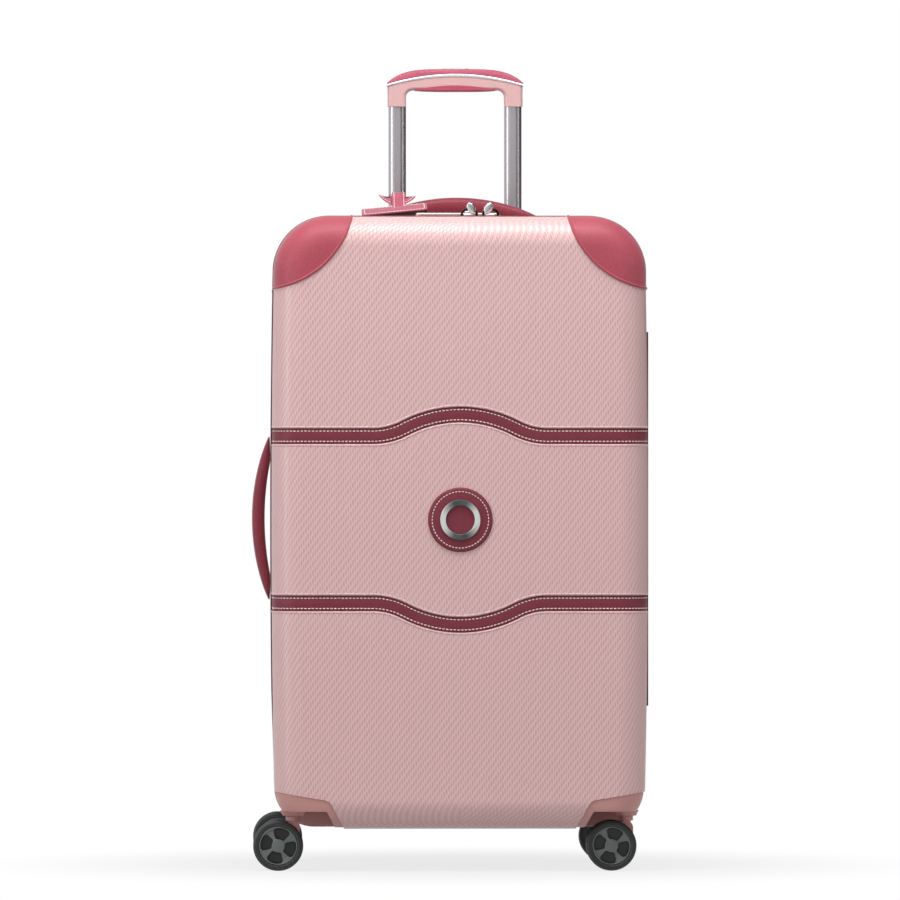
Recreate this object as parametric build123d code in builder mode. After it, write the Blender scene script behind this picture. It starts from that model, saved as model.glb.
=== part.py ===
from build123d import *
import math
import os

os.makedirs("parts", exist_ok=True)

# Case: floor at z = 0, front face towards -Y, millimetres throughout
CASE_WIDTH = 420.0
CASE_TOP = 730.0
CASE_BOTTOM = 47.0
CASE_DEPTH = 360.0
LID_DEPTH = 110.0
SIDE_BOW = 4.0
TOP_CORNER_RADIUS = 62.0
BOTTOM_CORNER_RADIUS = 45.0
EDGE_RADIUS = 32.0
WALL = 3.0

# Clearances: a fixed fit, a running fit, and room beside loose or sewn pieces
FIT = 0.05
RUN = 0.15
SEAT_GAP = 0.3

# Zip along the seam
ZIP_HALF = 6.0
ZIP_PROUD = 1.2
ZIP_THICK = 1.2
ZIP_REACH = 6.0
SEAM_GAP = 0.15

# Leather straps in their grooves
STRAP_WIDTH = 18.0
STRAP_THICK = 1.6
STRAP_OFFSET = 93.0
STRAP_BUMP = 24.0
STRAP_BUMP_REACH = 97.0
STRAP_CROWN_REACH = 62.0
GROOVE_DEPTH = 2.6
GROOVE_SIDE_GAP = 0.5
RIDGE_MARGIN = 3.0

# Leather corner guards
GUARD_ALONG_TOP = 90.0
GUARD_ALONG_SIDE = 81.0
GUARD_SAGITTA = 19.0
GUARD_RECESS = 1.0
GUARD_PROUD = 0.6

# Round medallion on the front
MEDALLION_RISE = 345.0
MEDALLION_RADIUS = 36.0
MEDALLION_THICK = 2.6
RING_RADIUS = 22.4
RING_WIDTH = 6.4
RING_THICK = 2.4
RING_STUD_RADIUS = 1.5
RING_STUD_DEPTH = 2.0

# Wheel wells at the four bottom corners
WELL_DEPTH = 96.0
WELL_HEAD_IN = 64.0
WELL_HEAD_Z = 79.0
WELL_SIDE_Z = 89.5
WELL_FOOT_IN = 81.0
WELL_HEAD_RADIUS = 9.0
WELL_CEILING = 67.0
HOUSING_GAP = 0.4
HOUSING_INSET = 1.6
HOUSING_WALL = 3.4
HOUSING_LEG = 8.0
HOUSING_HOLLOW_IN = 58.0
FLANGE_REACH = 8.0
FLANGE_THICK = 1.6

# Twin-wheel swivel casters
KINGPIN_SIDE = 24.0
KINGPIN_INSET = 50.0
KINGPIN_RADIUS = 4.0
KINGPIN_GRIP = 10.0
KINGPIN_HEAD_RADIUS = 7.0
KINGPIN_HEAD = 3.0
BOSS_RADIUS = 14.5
BOSS_LOW_RADIUS = 11.5
BOSS_HEIGHT = 6.0
BEARING_RADIUS = 8.0
BEARING_HEIGHT = 4.5
TRAIL = 16.6
FORK_THICK = 11.0
FORK_NECK_RADIUS = 8.0
FORK_NECK_HEIGHT = 5.0
FORK_GAP = 0.4
WHEEL_RADIUS = 28.0
WHEEL_WIDTH = 13.0
WHEEL_SIDE_GAP = 0.8
HUB_RADIUS = 21.5
HUB_BOSS_RADIUS = 7.5
HUB_RIM = 3.0
HUB_WINDOW_DEPTH = 8.0
HUB_SPOKE_ANGLE = 44.0
AXLE_RADIUS = 3.0
AXLE_BORE_DEPTH = 10.0
TYRE_ROUND = 3.0

# Telescopic handle
TUBE_X = 66.0
TUBE_INSET = 44.0
TUBE_WIDTH = 20.0
TUBE_DEPTH = 14.0
TUBE_WALL = 1.2
SLEEVE_WIDTH = 27.0
SLEEVE_DEPTH = 21.0
SLEEVE_WALL = 1.5
TUBE_LENGTH = 620.0
HANDLE_SHOWN = 131.0
GRIP_SOCKET = 12.0
HANDLE_DOWN = 118.0
HANDLE_UP = 190.0
FOOT_HEIGHT = 12.0
FOOT_SPIGOT = 10.0
BEZEL_HEIGHT = 6.0
BEZEL_MARGIN = 9.0
PLUG_LENGTH = 26.0
PLUG_SPIGOT = 15.0
SLEEVE_TOP_GAP = 1.0
LOCK_PIN_RADIUS = 3.5
LOCK_PIN_TRAVEL = 1.5
LOCK_PIN_BACK = 1.0
BUTTON_TRAVEL = 2.5
ROD_RADIUS = 2.5

# Grip of the telescopic handle
GRIP_HALF = 77.0
GRIP_LEG = 21.0
GRIP_DEPTH = 22.0
GRIP_INNER_ROUND = 8.0
GRIP_EDGE_ROUND = 4.0
GRIP_BAR_RISE = 18.5
GRIP_SHOULDER_RISE = 6.5
GRIP_CROWN_RISE = 9.5
TRIM_THICK = 2.5
LEATHER_MIDDLE = 8.5
LEATHER_END = 5.0
PAD_THICK = 1.4
PAD_HEIGHT = 6.0
BUTTON_LENGTH = 32.0
BUTTON_WIDTH = 12.0
BUTTON_ROUND = 1.0
STEM_END_ROOM = 6.0
STEM_SIDE_ROOM = 2.0
CROSSBAR_RISE = 5.1
CROSSBAR_THICK = 2.6
CROSSBAR_WIDTH = 7.0

# Carry handles on top and on the left side
CARRY_HALF = 92.0
CARRY_RISE = 21.5
CARRY_GAP = 7.5
CARRY_WIDTH = 28.0
CARRY_END = 4.0
CARRY_ROUND = 3.6
CARRY_LIFT = 12.0
CARRY_INSET = 145.0
TONGUE_X = 72.0
TONGUE_WIDTH = 18.0
TONGUE_THICK = 4.0
TONGUE_LENGTH = 26.0
GUIDE_LENGTH = 23.0
GUIDE_WALL = 3.5
GUIDE_GAP = 0.4

# Combination lock beside the zip
LOCK_LENGTH = 96.0
LOCK_WIDTH = 28.0
LOCK_HEIGHT = 6.0
LOCK_LIP = 3.0
LOCK_SUNK = 8.0
DIAL_RADIUS = 6.0
DIAL_WIDTH = 4.6
DIAL_PITCH = 8.0
DIAL_FIRST_X = -30.0
DIAL_RISE = 1.2
SHAFT_RADIUS = 1.2
LATCH_X = 12.0
LATCH_LENGTH = 12.0
LATCH_WIDTH = 9.0
LATCH_TRAVEL = 4.0
LATCH_DEPTH = 2.0

# Zip sliders with standing pullers
SLIDER_X = (12.0, 36.0)
SLIDER_LENGTH = 12.0
SLIDER_WIDTH = 9.0
SLIDER_HEIGHT = 3.6
PULLER_LENGTH = 10.5
PULLER_WIDTH = 6.4
PULLER_THICK = 1.8
PULLER_LEAN = 15.0
PULLER_SET = 1.0

# Luggage tag looped round the left tube
TAG_LENGTH = 74.0
TAG_WIDTH = 40.0
TAG_THICK = 2.6
TAG_CORNER = 5.0
TAG_SHIFT = 5.5
TAG_BEHIND_SEAM = 34.0
TAG_RISE = 9.6
TAG_PITCH = 11.0
TAG_ROLL = -5.5
TAG_STRAP_WIDTH = 15.0
TAG_STRAP_THICK = 1.8
TAG_STRAP_LAP = 4.0
TAG_STRAP_SET = 1.0
TAG_STRAP_BEND = 8.0
TAG_STRAP_RISE = 31.5
TAG_EYE_RISE = 26.0
TAG_EYE_LEAD = 12.0
TAG_EYE_LAP = 2.0
TAG_EYE_LENGTH = 42.0
TAG_EYE_WIDTH = 36.0
TAG_EYE_HOLE = 14.5

# Inner lining
LINING_GAP = 6.2
LINING_THICK = 1.0
LINING_PANEL_GAP = 1.5

# Fabric hinge along the right side
WELT_RADIUS = 2.0
WELT_LENGTH = 420.0

# Places worked out from the sizes above
FRONT_Y = -CASE_DEPTH / 2
REAR_Y = CASE_DEPTH / 2
SEAM_Y = FRONT_Y + LID_DEPTH
FRONT_RIM_Y = SEAM_Y - ZIP_HALF
REAR_RIM_Y = SEAM_Y + ZIP_HALF
HALF_WIDTH = CASE_WIDTH / 2
MEDALLION_Z = CASE_BOTTOM + MEDALLION_RISE
WELL_HEAD_X = HALF_WIDTH - WELL_HEAD_IN
WELL_FOOT_X = HALF_WIDTH - WELL_FOOT_IN
HOUSING_HOLLOW_X = HALF_WIDTH - HOUSING_HOLLOW_IN
KINGPIN_X = HALF_WIDTH - KINGPIN_SIDE
TUBE_Y = REAR_Y - TUBE_INSET
GRIP_BASE_Z = CASE_TOP + HANDLE_SHOWN
GRIP_BAR_Z = GRIP_BASE_Z + GRIP_BAR_RISE
GRIP_SHOULDER_Z = GRIP_BAR_Z + GRIP_SHOULDER_RISE
GRIP_CROWN_Z = GRIP_SHOULDER_Z + GRIP_CROWN_RISE
LEATHER_SHOULDER_Z = GRIP_SHOULDER_Z + LEATHER_END
LEATHER_CROWN_Z = GRIP_CROWN_Z + LEATHER_MIDDLE
CROSSBAR_Z = GRIP_BAR_Z + CROSSBAR_RISE
CARRY_Y = REAR_Y - CARRY_INSET
TAG_CENTRE = (-TUBE_X - TAG_SHIFT, SEAM_Y + TAG_BEHIND_SEAM, CASE_TOP + TAG_RISE)
TAG_STRAP_TOP = CASE_TOP + TAG_STRAP_RISE
TAG_EYE_Z = CASE_TOP + TAG_EYE_RISE
WELT_X = HALF_WIDTH + ZIP_PROUD + SEAT_GAP + WELT_RADIUS
RIDGE_WIDTH = STRAP_WIDTH + 2 * GROOVE_SIDE_GAP + 2 * RIDGE_MARGIN
FLOOR_OF_HOUSING = WELL_CEILING + HOUSING_WALL
NECK_TOP = WELL_CEILING - BOSS_HEIGHT - FORK_GAP
TUBE_BOTTOM_Z = GRIP_BASE_Z + GRIP_SOCKET - TUBE_LENGTH
PIN_Z = TUBE_BOTTOM_Z - PLUG_LENGTH / 2
PIN_SLOPE = LOCK_PIN_TRAVEL / BUTTON_TRAVEL
FOOT_Z = CASE_BOTTOM + WALL + SEAT_GAP
SLEEVE_TOP_Z = CASE_TOP - WALL - SLEEVE_TOP_GAP
LOCK_Y = REAR_RIM_Y + ZIP_REACH + SEAT_GAP - LOCK_LIP + LOCK_WIDTH / 2
LOCK_TOP_Z = CASE_TOP + LOCK_HEIGHT
PAST = 20.0
OVER = (Align.CENTER, Align.CENTER, Align.MIN)
UNDER = (Align.CENTER, Align.CENTER, Align.MAX)


def outward_sign(face_y):
    """+1 for the rear half of the case, -1 for the lid."""
    return 1 if face_y > SEAM_Y else -1


def case_outline(grow):
    """Front-view outline of the case with bowed sides, grown by an amount."""
    half = HALF_WIDTH + grow
    top = CASE_TOP + grow
    bottom = CASE_BOTTOM - grow
    middle = (top + bottom) / 2
    with BuildSketch() as outline:
        with BuildLine():
            Line((-half + SIDE_BOW, top), (half - SIDE_BOW, top))
            ThreePointArc((half - SIDE_BOW, top), (half, middle), (half - SIDE_BOW, bottom))
            Line((half - SIDE_BOW, bottom), (-half + SIDE_BOW, bottom))
            ThreePointArc((-half + SIDE_BOW, bottom), (-half, middle), (-half + SIDE_BOW, top))
        make_face()
        fillet(outline.vertices().group_by(Axis.Y)[-1], TOP_CORNER_RADIUS + grow)
        fillet(outline.vertices().group_by(Axis.Y)[0], BOTTOM_CORNER_RADIUS + grow)
    return outline.sketch


def case_half(near_y, face_y, grow):
    """Solid half of the case from a plane near the seam to its face, grown by an amount."""
    outward = outward_sign(face_y)
    with BuildPart() as half:
        with BuildSketch(Plane.XZ.offset(-near_y)):
            add(case_outline(grow))
        extrude(amount=-outward * (abs(face_y - near_y) + grow))
        face = half.faces().sort_by(Axis.Y)[-1 if outward > 0 else 0]
        fillet(face.edges(), EDGE_RADIUS + grow)
    return half.part


def skin(near_y, face_y, inner, outer, region):
    """Layer of a case half between two growths, kept where a front-view region covers it."""
    outward = outward_sign(face_y)
    with BuildPart() as layer:
        with BuildSketch(Plane.XZ.offset(-near_y)):
            add(region)
        extrude(amount=-outward * (abs(face_y - near_y) + PAST))
        add(case_half(near_y, face_y, outer), mode=Mode.INTERSECT)
        add(case_half(near_y, face_y, inner), mode=Mode.SUBTRACT)
    return layer.part


def strap_region(level, bump, half_width):
    """Front-view band of a strap, level at its ends and bowed by a bump at the middle."""
    way = -1 if bump < 0 else 1
    turn = 2 * math.atan(abs(bump) / STRAP_BUMP_REACH) if bump else 0
    with BuildSketch() as region:
        if not bump:
            with Locations((0, level)):
                Rectangle(2 * CASE_WIDTH, 2 * half_width)
        else:
            crown = STRAP_CROWN_REACH / math.sin(turn)
            foot = (STRAP_BUMP_REACH - STRAP_CROWN_REACH) / math.sin(turn)
            with BuildLine():
                for edge in (half_width, -half_width):
                    bend_x = STRAP_CROWN_REACH + edge * math.sin(turn)
                    bend_z = foot - (foot - edge) * math.cos(turn)
                    mid_x = STRAP_BUMP_REACH - (foot - edge) * math.sin(turn / 2)
                    mid_z = foot - (foot - edge) * math.cos(turn / 2)
                    for side in (-1, 1):
                        Line(
                            (side * CASE_WIDTH, level + way * edge),
                            (side * STRAP_BUMP_REACH, level + way * edge),
                        )
                        ThreePointArc(
                            (side * STRAP_BUMP_REACH, level + way * edge),
                            (side * mid_x, level + way * mid_z),
                            (side * bend_x, level + way * bend_z),
                        )
                    ThreePointArc(
                        (-bend_x, level + way * bend_z),
                        (0, level + way * (abs(bump) + edge)),
                        (bend_x, level + way * bend_z),
                    )
                for side in (-1, 1):
                    Line((side * CASE_WIDTH, level - half_width), (side * CASE_WIDTH, level + half_width))
            make_face()
    return region.sketch


def guard_region(inset):
    """Front-view regions of the two top corner guards, drawn in by an amount."""
    left = HALF_WIDTH - GUARD_ALONG_TOP
    low = CASE_TOP - GUARD_ALONG_SIDE
    out_x = HALF_WIDTH + PAST
    out_z = CASE_TOP + PAST
    with BuildSketch() as region:
        with BuildLine():
            SagittaArc((left, CASE_TOP), (HALF_WIDTH, low), -GUARD_SAGITTA)
            Polyline(
                (HALF_WIDTH, low),
                (out_x, low),
                (out_x, out_z),
                (left, out_z),
                (left, CASE_TOP),
            )
        make_face()
        offset(amount=-inset, kind=Kind.INTERSECTION, mode=Mode.REPLACE)
        mirror(about=Plane.YZ)
    return region.sketch


def well_region(inset):
    """Front-view region of the right wheel well, drawn in by an amount."""
    rise = (WELL_SIDE_Z - WELL_HEAD_Z) / (HALF_WIDTH - WELL_HEAD_X)
    lean = (WELL_HEAD_X - WELL_FOOT_X) / (WELL_HEAD_Z - CASE_BOTTOM)
    out_x = HALF_WIDTH + PAST
    out_z = CASE_BOTTOM - PAST
    head = (WELL_HEAD_X, WELL_HEAD_Z)
    with BuildSketch() as region:
        with BuildLine():
            Polyline(
                (WELL_FOOT_X - lean * PAST, out_z),
                head,
                (out_x, WELL_SIDE_Z + rise * PAST),
                (out_x, out_z),
                close=True,
            )
        make_face()
        fillet(region.vertices().sort_by_distance(head)[0], WELL_HEAD_RADIUS)
        offset(amount=-inset, kind=Kind.INTERSECTION, mode=Mode.REPLACE)
    return region.sketch


def well_block(face_y, inset, depth):
    """Both wheel wells of one half as solids that run in from past its face."""
    outward = outward_sign(face_y)
    with BuildPart() as block:
        with BuildSketch(Plane.XZ.offset(-(face_y + outward * PAST))):
            add(well_region(inset))
        extrude(amount=outward * (depth + PAST))
        mirror(about=Plane.YZ)
    return block.part


def strap_bands(face_y, half_width):
    """The two strap regions of one half: bowed round the medallion on the lid, level behind."""
    bump = STRAP_BUMP if outward_sign(face_y) < 0 else 0
    upper = strap_region(MEDALLION_Z + STRAP_OFFSET, bump, half_width)
    lower = strap_region(MEDALLION_Z - STRAP_OFFSET, -bump, half_width)
    return upper, lower


def case_shell(rim_y, face_y):
    """Moulded half shell with strap grooves, corner recesses and wheel well cut-outs."""
    groove_half = STRAP_WIDTH / 2 + GROOVE_SIDE_GAP
    with BuildPart() as shell:
        add(case_half(rim_y, face_y, 0))
        add(case_half(rim_y, face_y, -WALL), mode=Mode.SUBTRACT)
        for band in strap_bands(face_y, RIDGE_WIDTH / 2):
            add(skin(rim_y, face_y, -GROOVE_DEPTH - WALL, -WALL / 2, band))
        for band in strap_bands(face_y, groove_half):
            add(skin(rim_y, face_y, -GROOVE_DEPTH, PAST / 2, band), mode=Mode.SUBTRACT)
        add(skin(rim_y, face_y, -GUARD_RECESS, PAST / 2, guard_region(0)), mode=Mode.SUBTRACT)
        add(well_block(face_y, 0, WELL_DEPTH), mode=Mode.SUBTRACT)
    return shell.part


def case_straps(rim_y, face_y):
    """The two leather straps lying in the grooves of one half."""
    floor = -GROOVE_DEPTH + FIT
    with BuildPart() as straps:
        for band in strap_bands(face_y, STRAP_WIDTH / 2):
            add(skin(rim_y, face_y, floor, floor + STRAP_THICK, band))
    return straps.part


def corner_guards(rim_y, face_y):
    """Leather guards over the two top corners of one half."""
    return skin(rim_y, face_y, -GUARD_RECESS + FIT, GUARD_PROUD, guard_region(GROOVE_SIDE_GAP))


def zip_tape(rim_y, face_y):
    """One half of the zip: a proud welt in the seam and a sewn edge inside the shell rim."""
    outward = outward_sign(face_y)
    seam = SEAM_Y + outward * SEAM_GAP
    inside = -WALL - FIT - ZIP_THICK
    with BuildPart() as tape:
        with BuildSketch(Plane.XZ.offset(-seam)):
            add(case_outline(ZIP_PROUD))
            add(case_outline(inside), mode=Mode.SUBTRACT)
        extrude(amount=-outward * (ZIP_HALF - SEAM_GAP - FIT))
        with BuildSketch(Plane.XZ.offset(-seam)):
            add(case_outline(-WALL - FIT))
            add(case_outline(inside), mode=Mode.SUBTRACT)
        extrude(amount=-outward * (ZIP_HALF - SEAM_GAP + ZIP_REACH))
        for way in (-1, 1):
            with Locations((0, rim_y + outward * ZIP_REACH, MEDALLION_Z + way * STRAP_OFFSET)):
                Box(2 * CASE_WIDTH, 2 * ZIP_REACH, RIDGE_WIDTH + 2 * SEAT_GAP, mode=Mode.SUBTRACT)
    return tape.part


def wheel_housings(rim_y, face_y):
    """Moulded caster housings for both corners of one half, with flange, well and boss."""
    outward = outward_sign(face_y)
    back_y = face_y - outward * WELL_DEPTH
    flange_out = -WALL - FIT
    flange_region = well_region(-FLANGE_REACH)
    pin_y = face_y - outward * KINGPIN_INSET
    boss_z = WELL_CEILING - BOSS_HEIGHT
    with BuildPart() as hollow:
        with BuildSketch(Plane.XZ.offset(-face_y)):
            with Locations((HOUSING_HOLLOW_X, FLOOR_OF_HOUSING)):
                Rectangle(CASE_WIDTH, WELL_CEILING, align=(Align.MIN, Align.MIN))
        extrude(amount=outward * (WELL_DEPTH - HOUSING_WALL))
        add(case_half(rim_y, face_y, -HOUSING_INSET - HOUSING_WALL), mode=Mode.INTERSECT)
    with BuildPart() as housing:
        with BuildSketch(Plane.XZ.offset(-face_y)):
            add(well_region(HOUSING_GAP))
        extrude(amount=outward * (WELL_DEPTH - HOUSING_GAP))
        add(case_half(rim_y, face_y, -HOUSING_INSET), mode=Mode.INTERSECT)
        flange_y = back_y + outward * HOUSING_GAP
        add(skin(flange_y, face_y, flange_out - FLANGE_THICK, flange_out, flange_region))
        with BuildSketch(Plane.XZ.offset(-(face_y + outward * PAST))):
            add(well_region(HOUSING_LEG))
            with Locations((0, WELL_CEILING)):
                Rectangle(3 * CASE_WIDTH, CASE_WIDTH, align=(Align.CENTER, Align.MIN), mode=Mode.SUBTRACT)
        extrude(amount=outward * (WELL_DEPTH - HOUSING_WALL + PAST), mode=Mode.SUBTRACT)
        add(hollow.part, mode=Mode.SUBTRACT)
        with Locations((KINGPIN_X, pin_y, boss_z)):
            Cone(BOSS_LOW_RADIUS, BOSS_RADIUS, BOSS_HEIGHT, align=OVER)
            Cylinder(BEARING_RADIUS + FIT, BEARING_HEIGHT, align=OVER, mode=Mode.SUBTRACT)
            Cylinder(KINGPIN_RADIUS + FIT, WELL_CEILING, align=OVER, mode=Mode.SUBTRACT)
        mirror(about=Plane.YZ)
    return housing.part


def lining_block(near_y, face_y, inset):
    """The space inside one half that the lining wraps, drawn in by an amount."""
    room = SEAT_GAP + inset - LINING_GAP
    lock_z = CASE_TOP - WALL - LOCK_SUNK - room
    guide_deep = WALL + GUIDE_GAP + GUIDE_LENGTH + room
    guide_across = TONGUE_WIDTH + 2 * GUIDE_WALL + 2 * room
    guide_along = TONGUE_THICK + 2 * GUIDE_WALL + 2 * room
    with BuildPart() as block:
        add(case_half(near_y, face_y, -inset))
        if outward_sign(face_y) < 0:
            add(well_block(FRONT_Y, -FLANGE_REACH - room, WELL_DEPTH + room), mode=Mode.SUBTRACT)
        else:
            add(well_block(REAR_Y, -FLANGE_REACH - room, WELL_DEPTH + room), mode=Mode.SUBTRACT)
            with Locations((0, LOCK_Y, lock_z)):
                Box(LOCK_LENGTH + 2 * room, LOCK_WIDTH + 2 * room, CASE_TOP, align=OVER, mode=Mode.SUBTRACT)
            for way in (-1, 1):
                with Locations((way * TONGUE_X, CARRY_Y, CASE_TOP - guide_deep)):
                    Box(guide_along, guide_across, CASE_TOP, align=OVER, mode=Mode.SUBTRACT)
                with Locations((-HALF_WIDTH, CARRY_Y, MEDALLION_Z + way * TONGUE_X)):
                    Box(2 * guide_deep, guide_across, guide_along, mode=Mode.SUBTRACT)
    return block.part


def case_lining(near_y, face_y):
    """Fabric lining of one half, open at the seam."""
    with BuildPart() as lining:
        add(lining_block(near_y, face_y, LINING_GAP))
        add(lining_block(near_y, face_y, LINING_GAP + LINING_THICK), mode=Mode.SUBTRACT)
    return lining.part


def swivel_pins(face_y):
    """Headed kingpins that hang both forks of one half from their housings."""
    pin_y = face_y - outward_sign(face_y) * KINGPIN_INSET
    low = NECK_TOP - KINGPIN_GRIP
    with BuildPart() as pins:
        for side in (-1, 1):
            with Locations((side * KINGPIN_X, pin_y, low)):
                Cylinder(KINGPIN_RADIUS, FLOOR_OF_HOUSING - low, align=OVER)
            with Locations((side * KINGPIN_X, pin_y, FLOOR_OF_HOUSING)):
                Cylinder(KINGPIN_HEAD_RADIUS, KINGPIN_HEAD, align=OVER)
    return pins.part


def swivel_bearings(face_y):
    """Bearing rings pressed into the bosses of both housings of one half."""
    pin_y = face_y - outward_sign(face_y) * KINGPIN_INSET
    low = WELL_CEILING - BOSS_HEIGHT
    with BuildPart() as rings:
        for side in (-1, 1):
            with Locations((side * KINGPIN_X, pin_y, low)):
                Cylinder(BEARING_RADIUS, BEARING_HEIGHT, align=OVER)
                Cylinder(KINGPIN_RADIUS + FIT, BEARING_HEIGHT, align=OVER, mode=Mode.SUBTRACT)
    return rings.part


def caster_fork(pin_x, pin_y):
    """Fork blade between the two wheels, hung from the kingpin by its neck."""
    blade = Plane(origin=(pin_x, pin_y + FORK_THICK / 2, 0), x_dir=(1, 0, 0), z_dir=(0, -1, 0))
    shoulder_z = NECK_TOP - FORK_NECK_HEIGHT - FORK_NECK_RADIUS
    with BuildPart() as fork:
        with BuildSketch(blade):
            with Locations((0, shoulder_z)):
                Circle(FORK_NECK_RADIUS)
            with Locations((0, WHEEL_RADIUS + FORK_NECK_RADIUS)):
                Circle(FORK_NECK_RADIUS)
            with Locations((-TRAIL, WHEEL_RADIUS)):
                Circle(FORK_NECK_RADIUS)
            make_hull()
        extrude(amount=FORK_THICK)
        with Locations((pin_x, pin_y, NECK_TOP)):
            Cylinder(FORK_NECK_RADIUS, FORK_NECK_HEIGHT, align=UNDER)
            Cylinder(FORK_THICK / 2, FORK_NECK_HEIGHT + FORK_NECK_RADIUS, align=UNDER)
            Cylinder(KINGPIN_RADIUS + RUN, KINGPIN_GRIP + SEAT_GAP, align=UNDER, mode=Mode.SUBTRACT)
        with Locations(Location((pin_x - TRAIL, pin_y, WHEEL_RADIUS), (90, 0, 0))):
            Cylinder(AXLE_RADIUS + FIT, 2 * FORK_THICK, mode=Mode.SUBTRACT)
    return fork.part


def hub_window():
    """One of the four curved windows between the hub's spokes, drawn about the hub centre."""
    inner = HUB_BOSS_RADIUS + HUB_RIM / 2
    outer = HUB_RADIUS - HUB_RIM
    half = 45 - HUB_SPOKE_ANGLE / 4
    with BuildSketch() as window:
        with BuildLine():
            CenterArc((0, 0), outer, -half, 2 * half)
            CenterArc((0, 0), inner, -half / 2, half)
            for way in (-1, 1):
                a = math.radians(way * half)
                b = math.radians(way * half / 2)
                Line(
                    (outer * math.cos(a), outer * math.sin(a)),
                    (inner * math.cos(b), inner * math.sin(b)),
                )
        make_face()
    return window.sketch


def caster_wheel(axle_x, pin_y, way):
    """One wheel: a windowed hub and its tyre, on the fork's front (-1) or rear (+1) side."""
    inner_y = pin_y + way * (FORK_THICK / 2 + WHEEL_SIDE_GAP)
    side = Plane(origin=(axle_x, inner_y, WHEEL_RADIUS), x_dir=(1, 0, 0), z_dir=(0, way, 0))
    with BuildPart(side) as wheel:
        Cylinder(HUB_RADIUS, WHEEL_WIDTH, align=OVER)
        with BuildSketch(side.offset(WHEEL_WIDTH)):
            with PolarLocations(0, 4, start_angle=45):
                add(hub_window())
        extrude(amount=-HUB_WINDOW_DEPTH, mode=Mode.SUBTRACT)
        Cylinder(AXLE_RADIUS + RUN, AXLE_BORE_DEPTH, align=OVER, mode=Mode.SUBTRACT)
    with BuildPart(side) as tyre:
        Cylinder(WHEEL_RADIUS, WHEEL_WIDTH, align=OVER)
        fillet(tyre.edges(), TYRE_ROUND)
        Cylinder(HUB_RADIUS + FIT, WHEEL_WIDTH, align=OVER, mode=Mode.SUBTRACT)
    return Compound(children=[wheel.part.solid(), tyre.part.solid()])


def caster_axle(axle_x, pin_y):
    """Steel axle through the fork that carries both wheels."""
    reach = FORK_THICK / 2 + WHEEL_SIDE_GAP + AXLE_BORE_DEPTH - SEAT_GAP
    with BuildPart() as axle:
        with Locations(Location((axle_x, pin_y, WHEEL_RADIUS), (90, 0, 0))):
            Cylinder(AXLE_RADIUS, 2 * reach)
    return axle.part


def carry_handle(base):
    """Low arched carry handle whose two tongues run down through the case wall."""
    profile = Plane(origin=base.origin, x_dir=base.x_dir, z_dir=-base.y_dir)
    foot = SEAT_GAP
    with BuildPart() as handle:
        with BuildSketch(profile.offset(-CARRY_WIDTH / 2)):
            with BuildLine():
                ThreePointArc((-CARRY_HALF, CARRY_END), (0, CARRY_RISE), (CARRY_HALF, CARRY_END))
                Polyline((CARRY_HALF, CARRY_END), (CARRY_HALF, foot), (TONGUE_X - TONGUE_THICK, foot))
                ThreePointArc(
                    (TONGUE_X - TONGUE_THICK, foot), (0, CARRY_GAP), (-TONGUE_X + TONGUE_THICK, foot)
                )
                Polyline((-TONGUE_X + TONGUE_THICK, foot), (-CARRY_HALF, foot), (-CARRY_HALF, CARRY_END))
            make_face()
        extrude(amount=CARRY_WIDTH)
        crown = handle.faces().sort_by(lambda f: (f.center() - base.origin).dot(base.z_dir))[-1]
        fillet(crown.edges().filter_by(GeomType.CIRCLE), CARRY_ROUND)
        with BuildSketch(base.offset(foot)):
            with GridLocations(2 * TONGUE_X, 0, 2, 1):
                Rectangle(TONGUE_THICK, TONGUE_WIDTH)
        extrude(amount=-TONGUE_LENGTH - foot)
    return handle.part


def tongue_slots(base, thick, wide, top, bottom):
    """Blocks on the two tongue places of a carry handle, between two heights."""
    with BuildPart() as blocks:
        with BuildSketch(base.offset(top)):
            with GridLocations(2 * TONGUE_X, 0, 2, 1):
                Rectangle(thick, wide)
        extrude(amount=bottom - top)
    return blocks.part


TOP_BASE = Plane(origin=(0, CARRY_Y, CASE_TOP), x_dir=(1, 0, 0), z_dir=(0, 0, 1))
SIDE_BASE = Plane(origin=(-HALF_WIDTH, CARRY_Y, MEDALLION_Z), x_dir=(0, 0, 1), z_dir=(-1, 0, 0))
SLOT_THICK = TONGUE_THICK + 2 * SEAT_GAP
SLOT_WIDE = TONGUE_WIDTH + 2 * SEAT_GAP

# Lid shell
with BuildPart() as front_shell:
    add(case_shell(FRONT_RIM_Y, FRONT_Y))
    for side in (-1, 1):
        with Locations(Location((side * (RING_RADIUS - RING_WIDTH / 2), FRONT_Y, MEDALLION_Z), (90, 0, 0))):
            Cylinder(RING_STUD_RADIUS + FIT, 2 * (RING_STUD_DEPTH + FIT), mode=Mode.SUBTRACT)
front_shell.part.label = "front_shell"
export_step(front_shell.part, "parts/front_shell.step")

# Rear shell with the cut-outs for tubes, lock and carry handles
with BuildPart() as rear_shell:
    add(case_shell(REAR_RIM_Y, REAR_Y))
    with BuildSketch(Plane.XY.offset(CASE_TOP + PAST)):
        with Locations((0, TUBE_Y)):
            with GridLocations(2 * TUBE_X, 0, 2, 1):
                SlotOverall(SLEEVE_WIDTH + 2 * SEAT_GAP, SLEEVE_DEPTH + 2 * SEAT_GAP)
        with Locations((0, LOCK_Y)):
            Rectangle(LOCK_LENGTH - 2 * LOCK_LIP + SEAT_GAP, LOCK_WIDTH - 2 * LOCK_LIP + SEAT_GAP)
    extrude(amount=-PAST - WALL - 1.0, mode=Mode.SUBTRACT)
    for base in (TOP_BASE, SIDE_BASE):
        add(tongue_slots(base, SLOT_THICK, SLOT_WIDE, PAST / 2, -PAST / 2), mode=Mode.SUBTRACT)
rear_shell.part.label = "rear_shell"
export_step(rear_shell.part, "parts/rear_shell.step")

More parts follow.
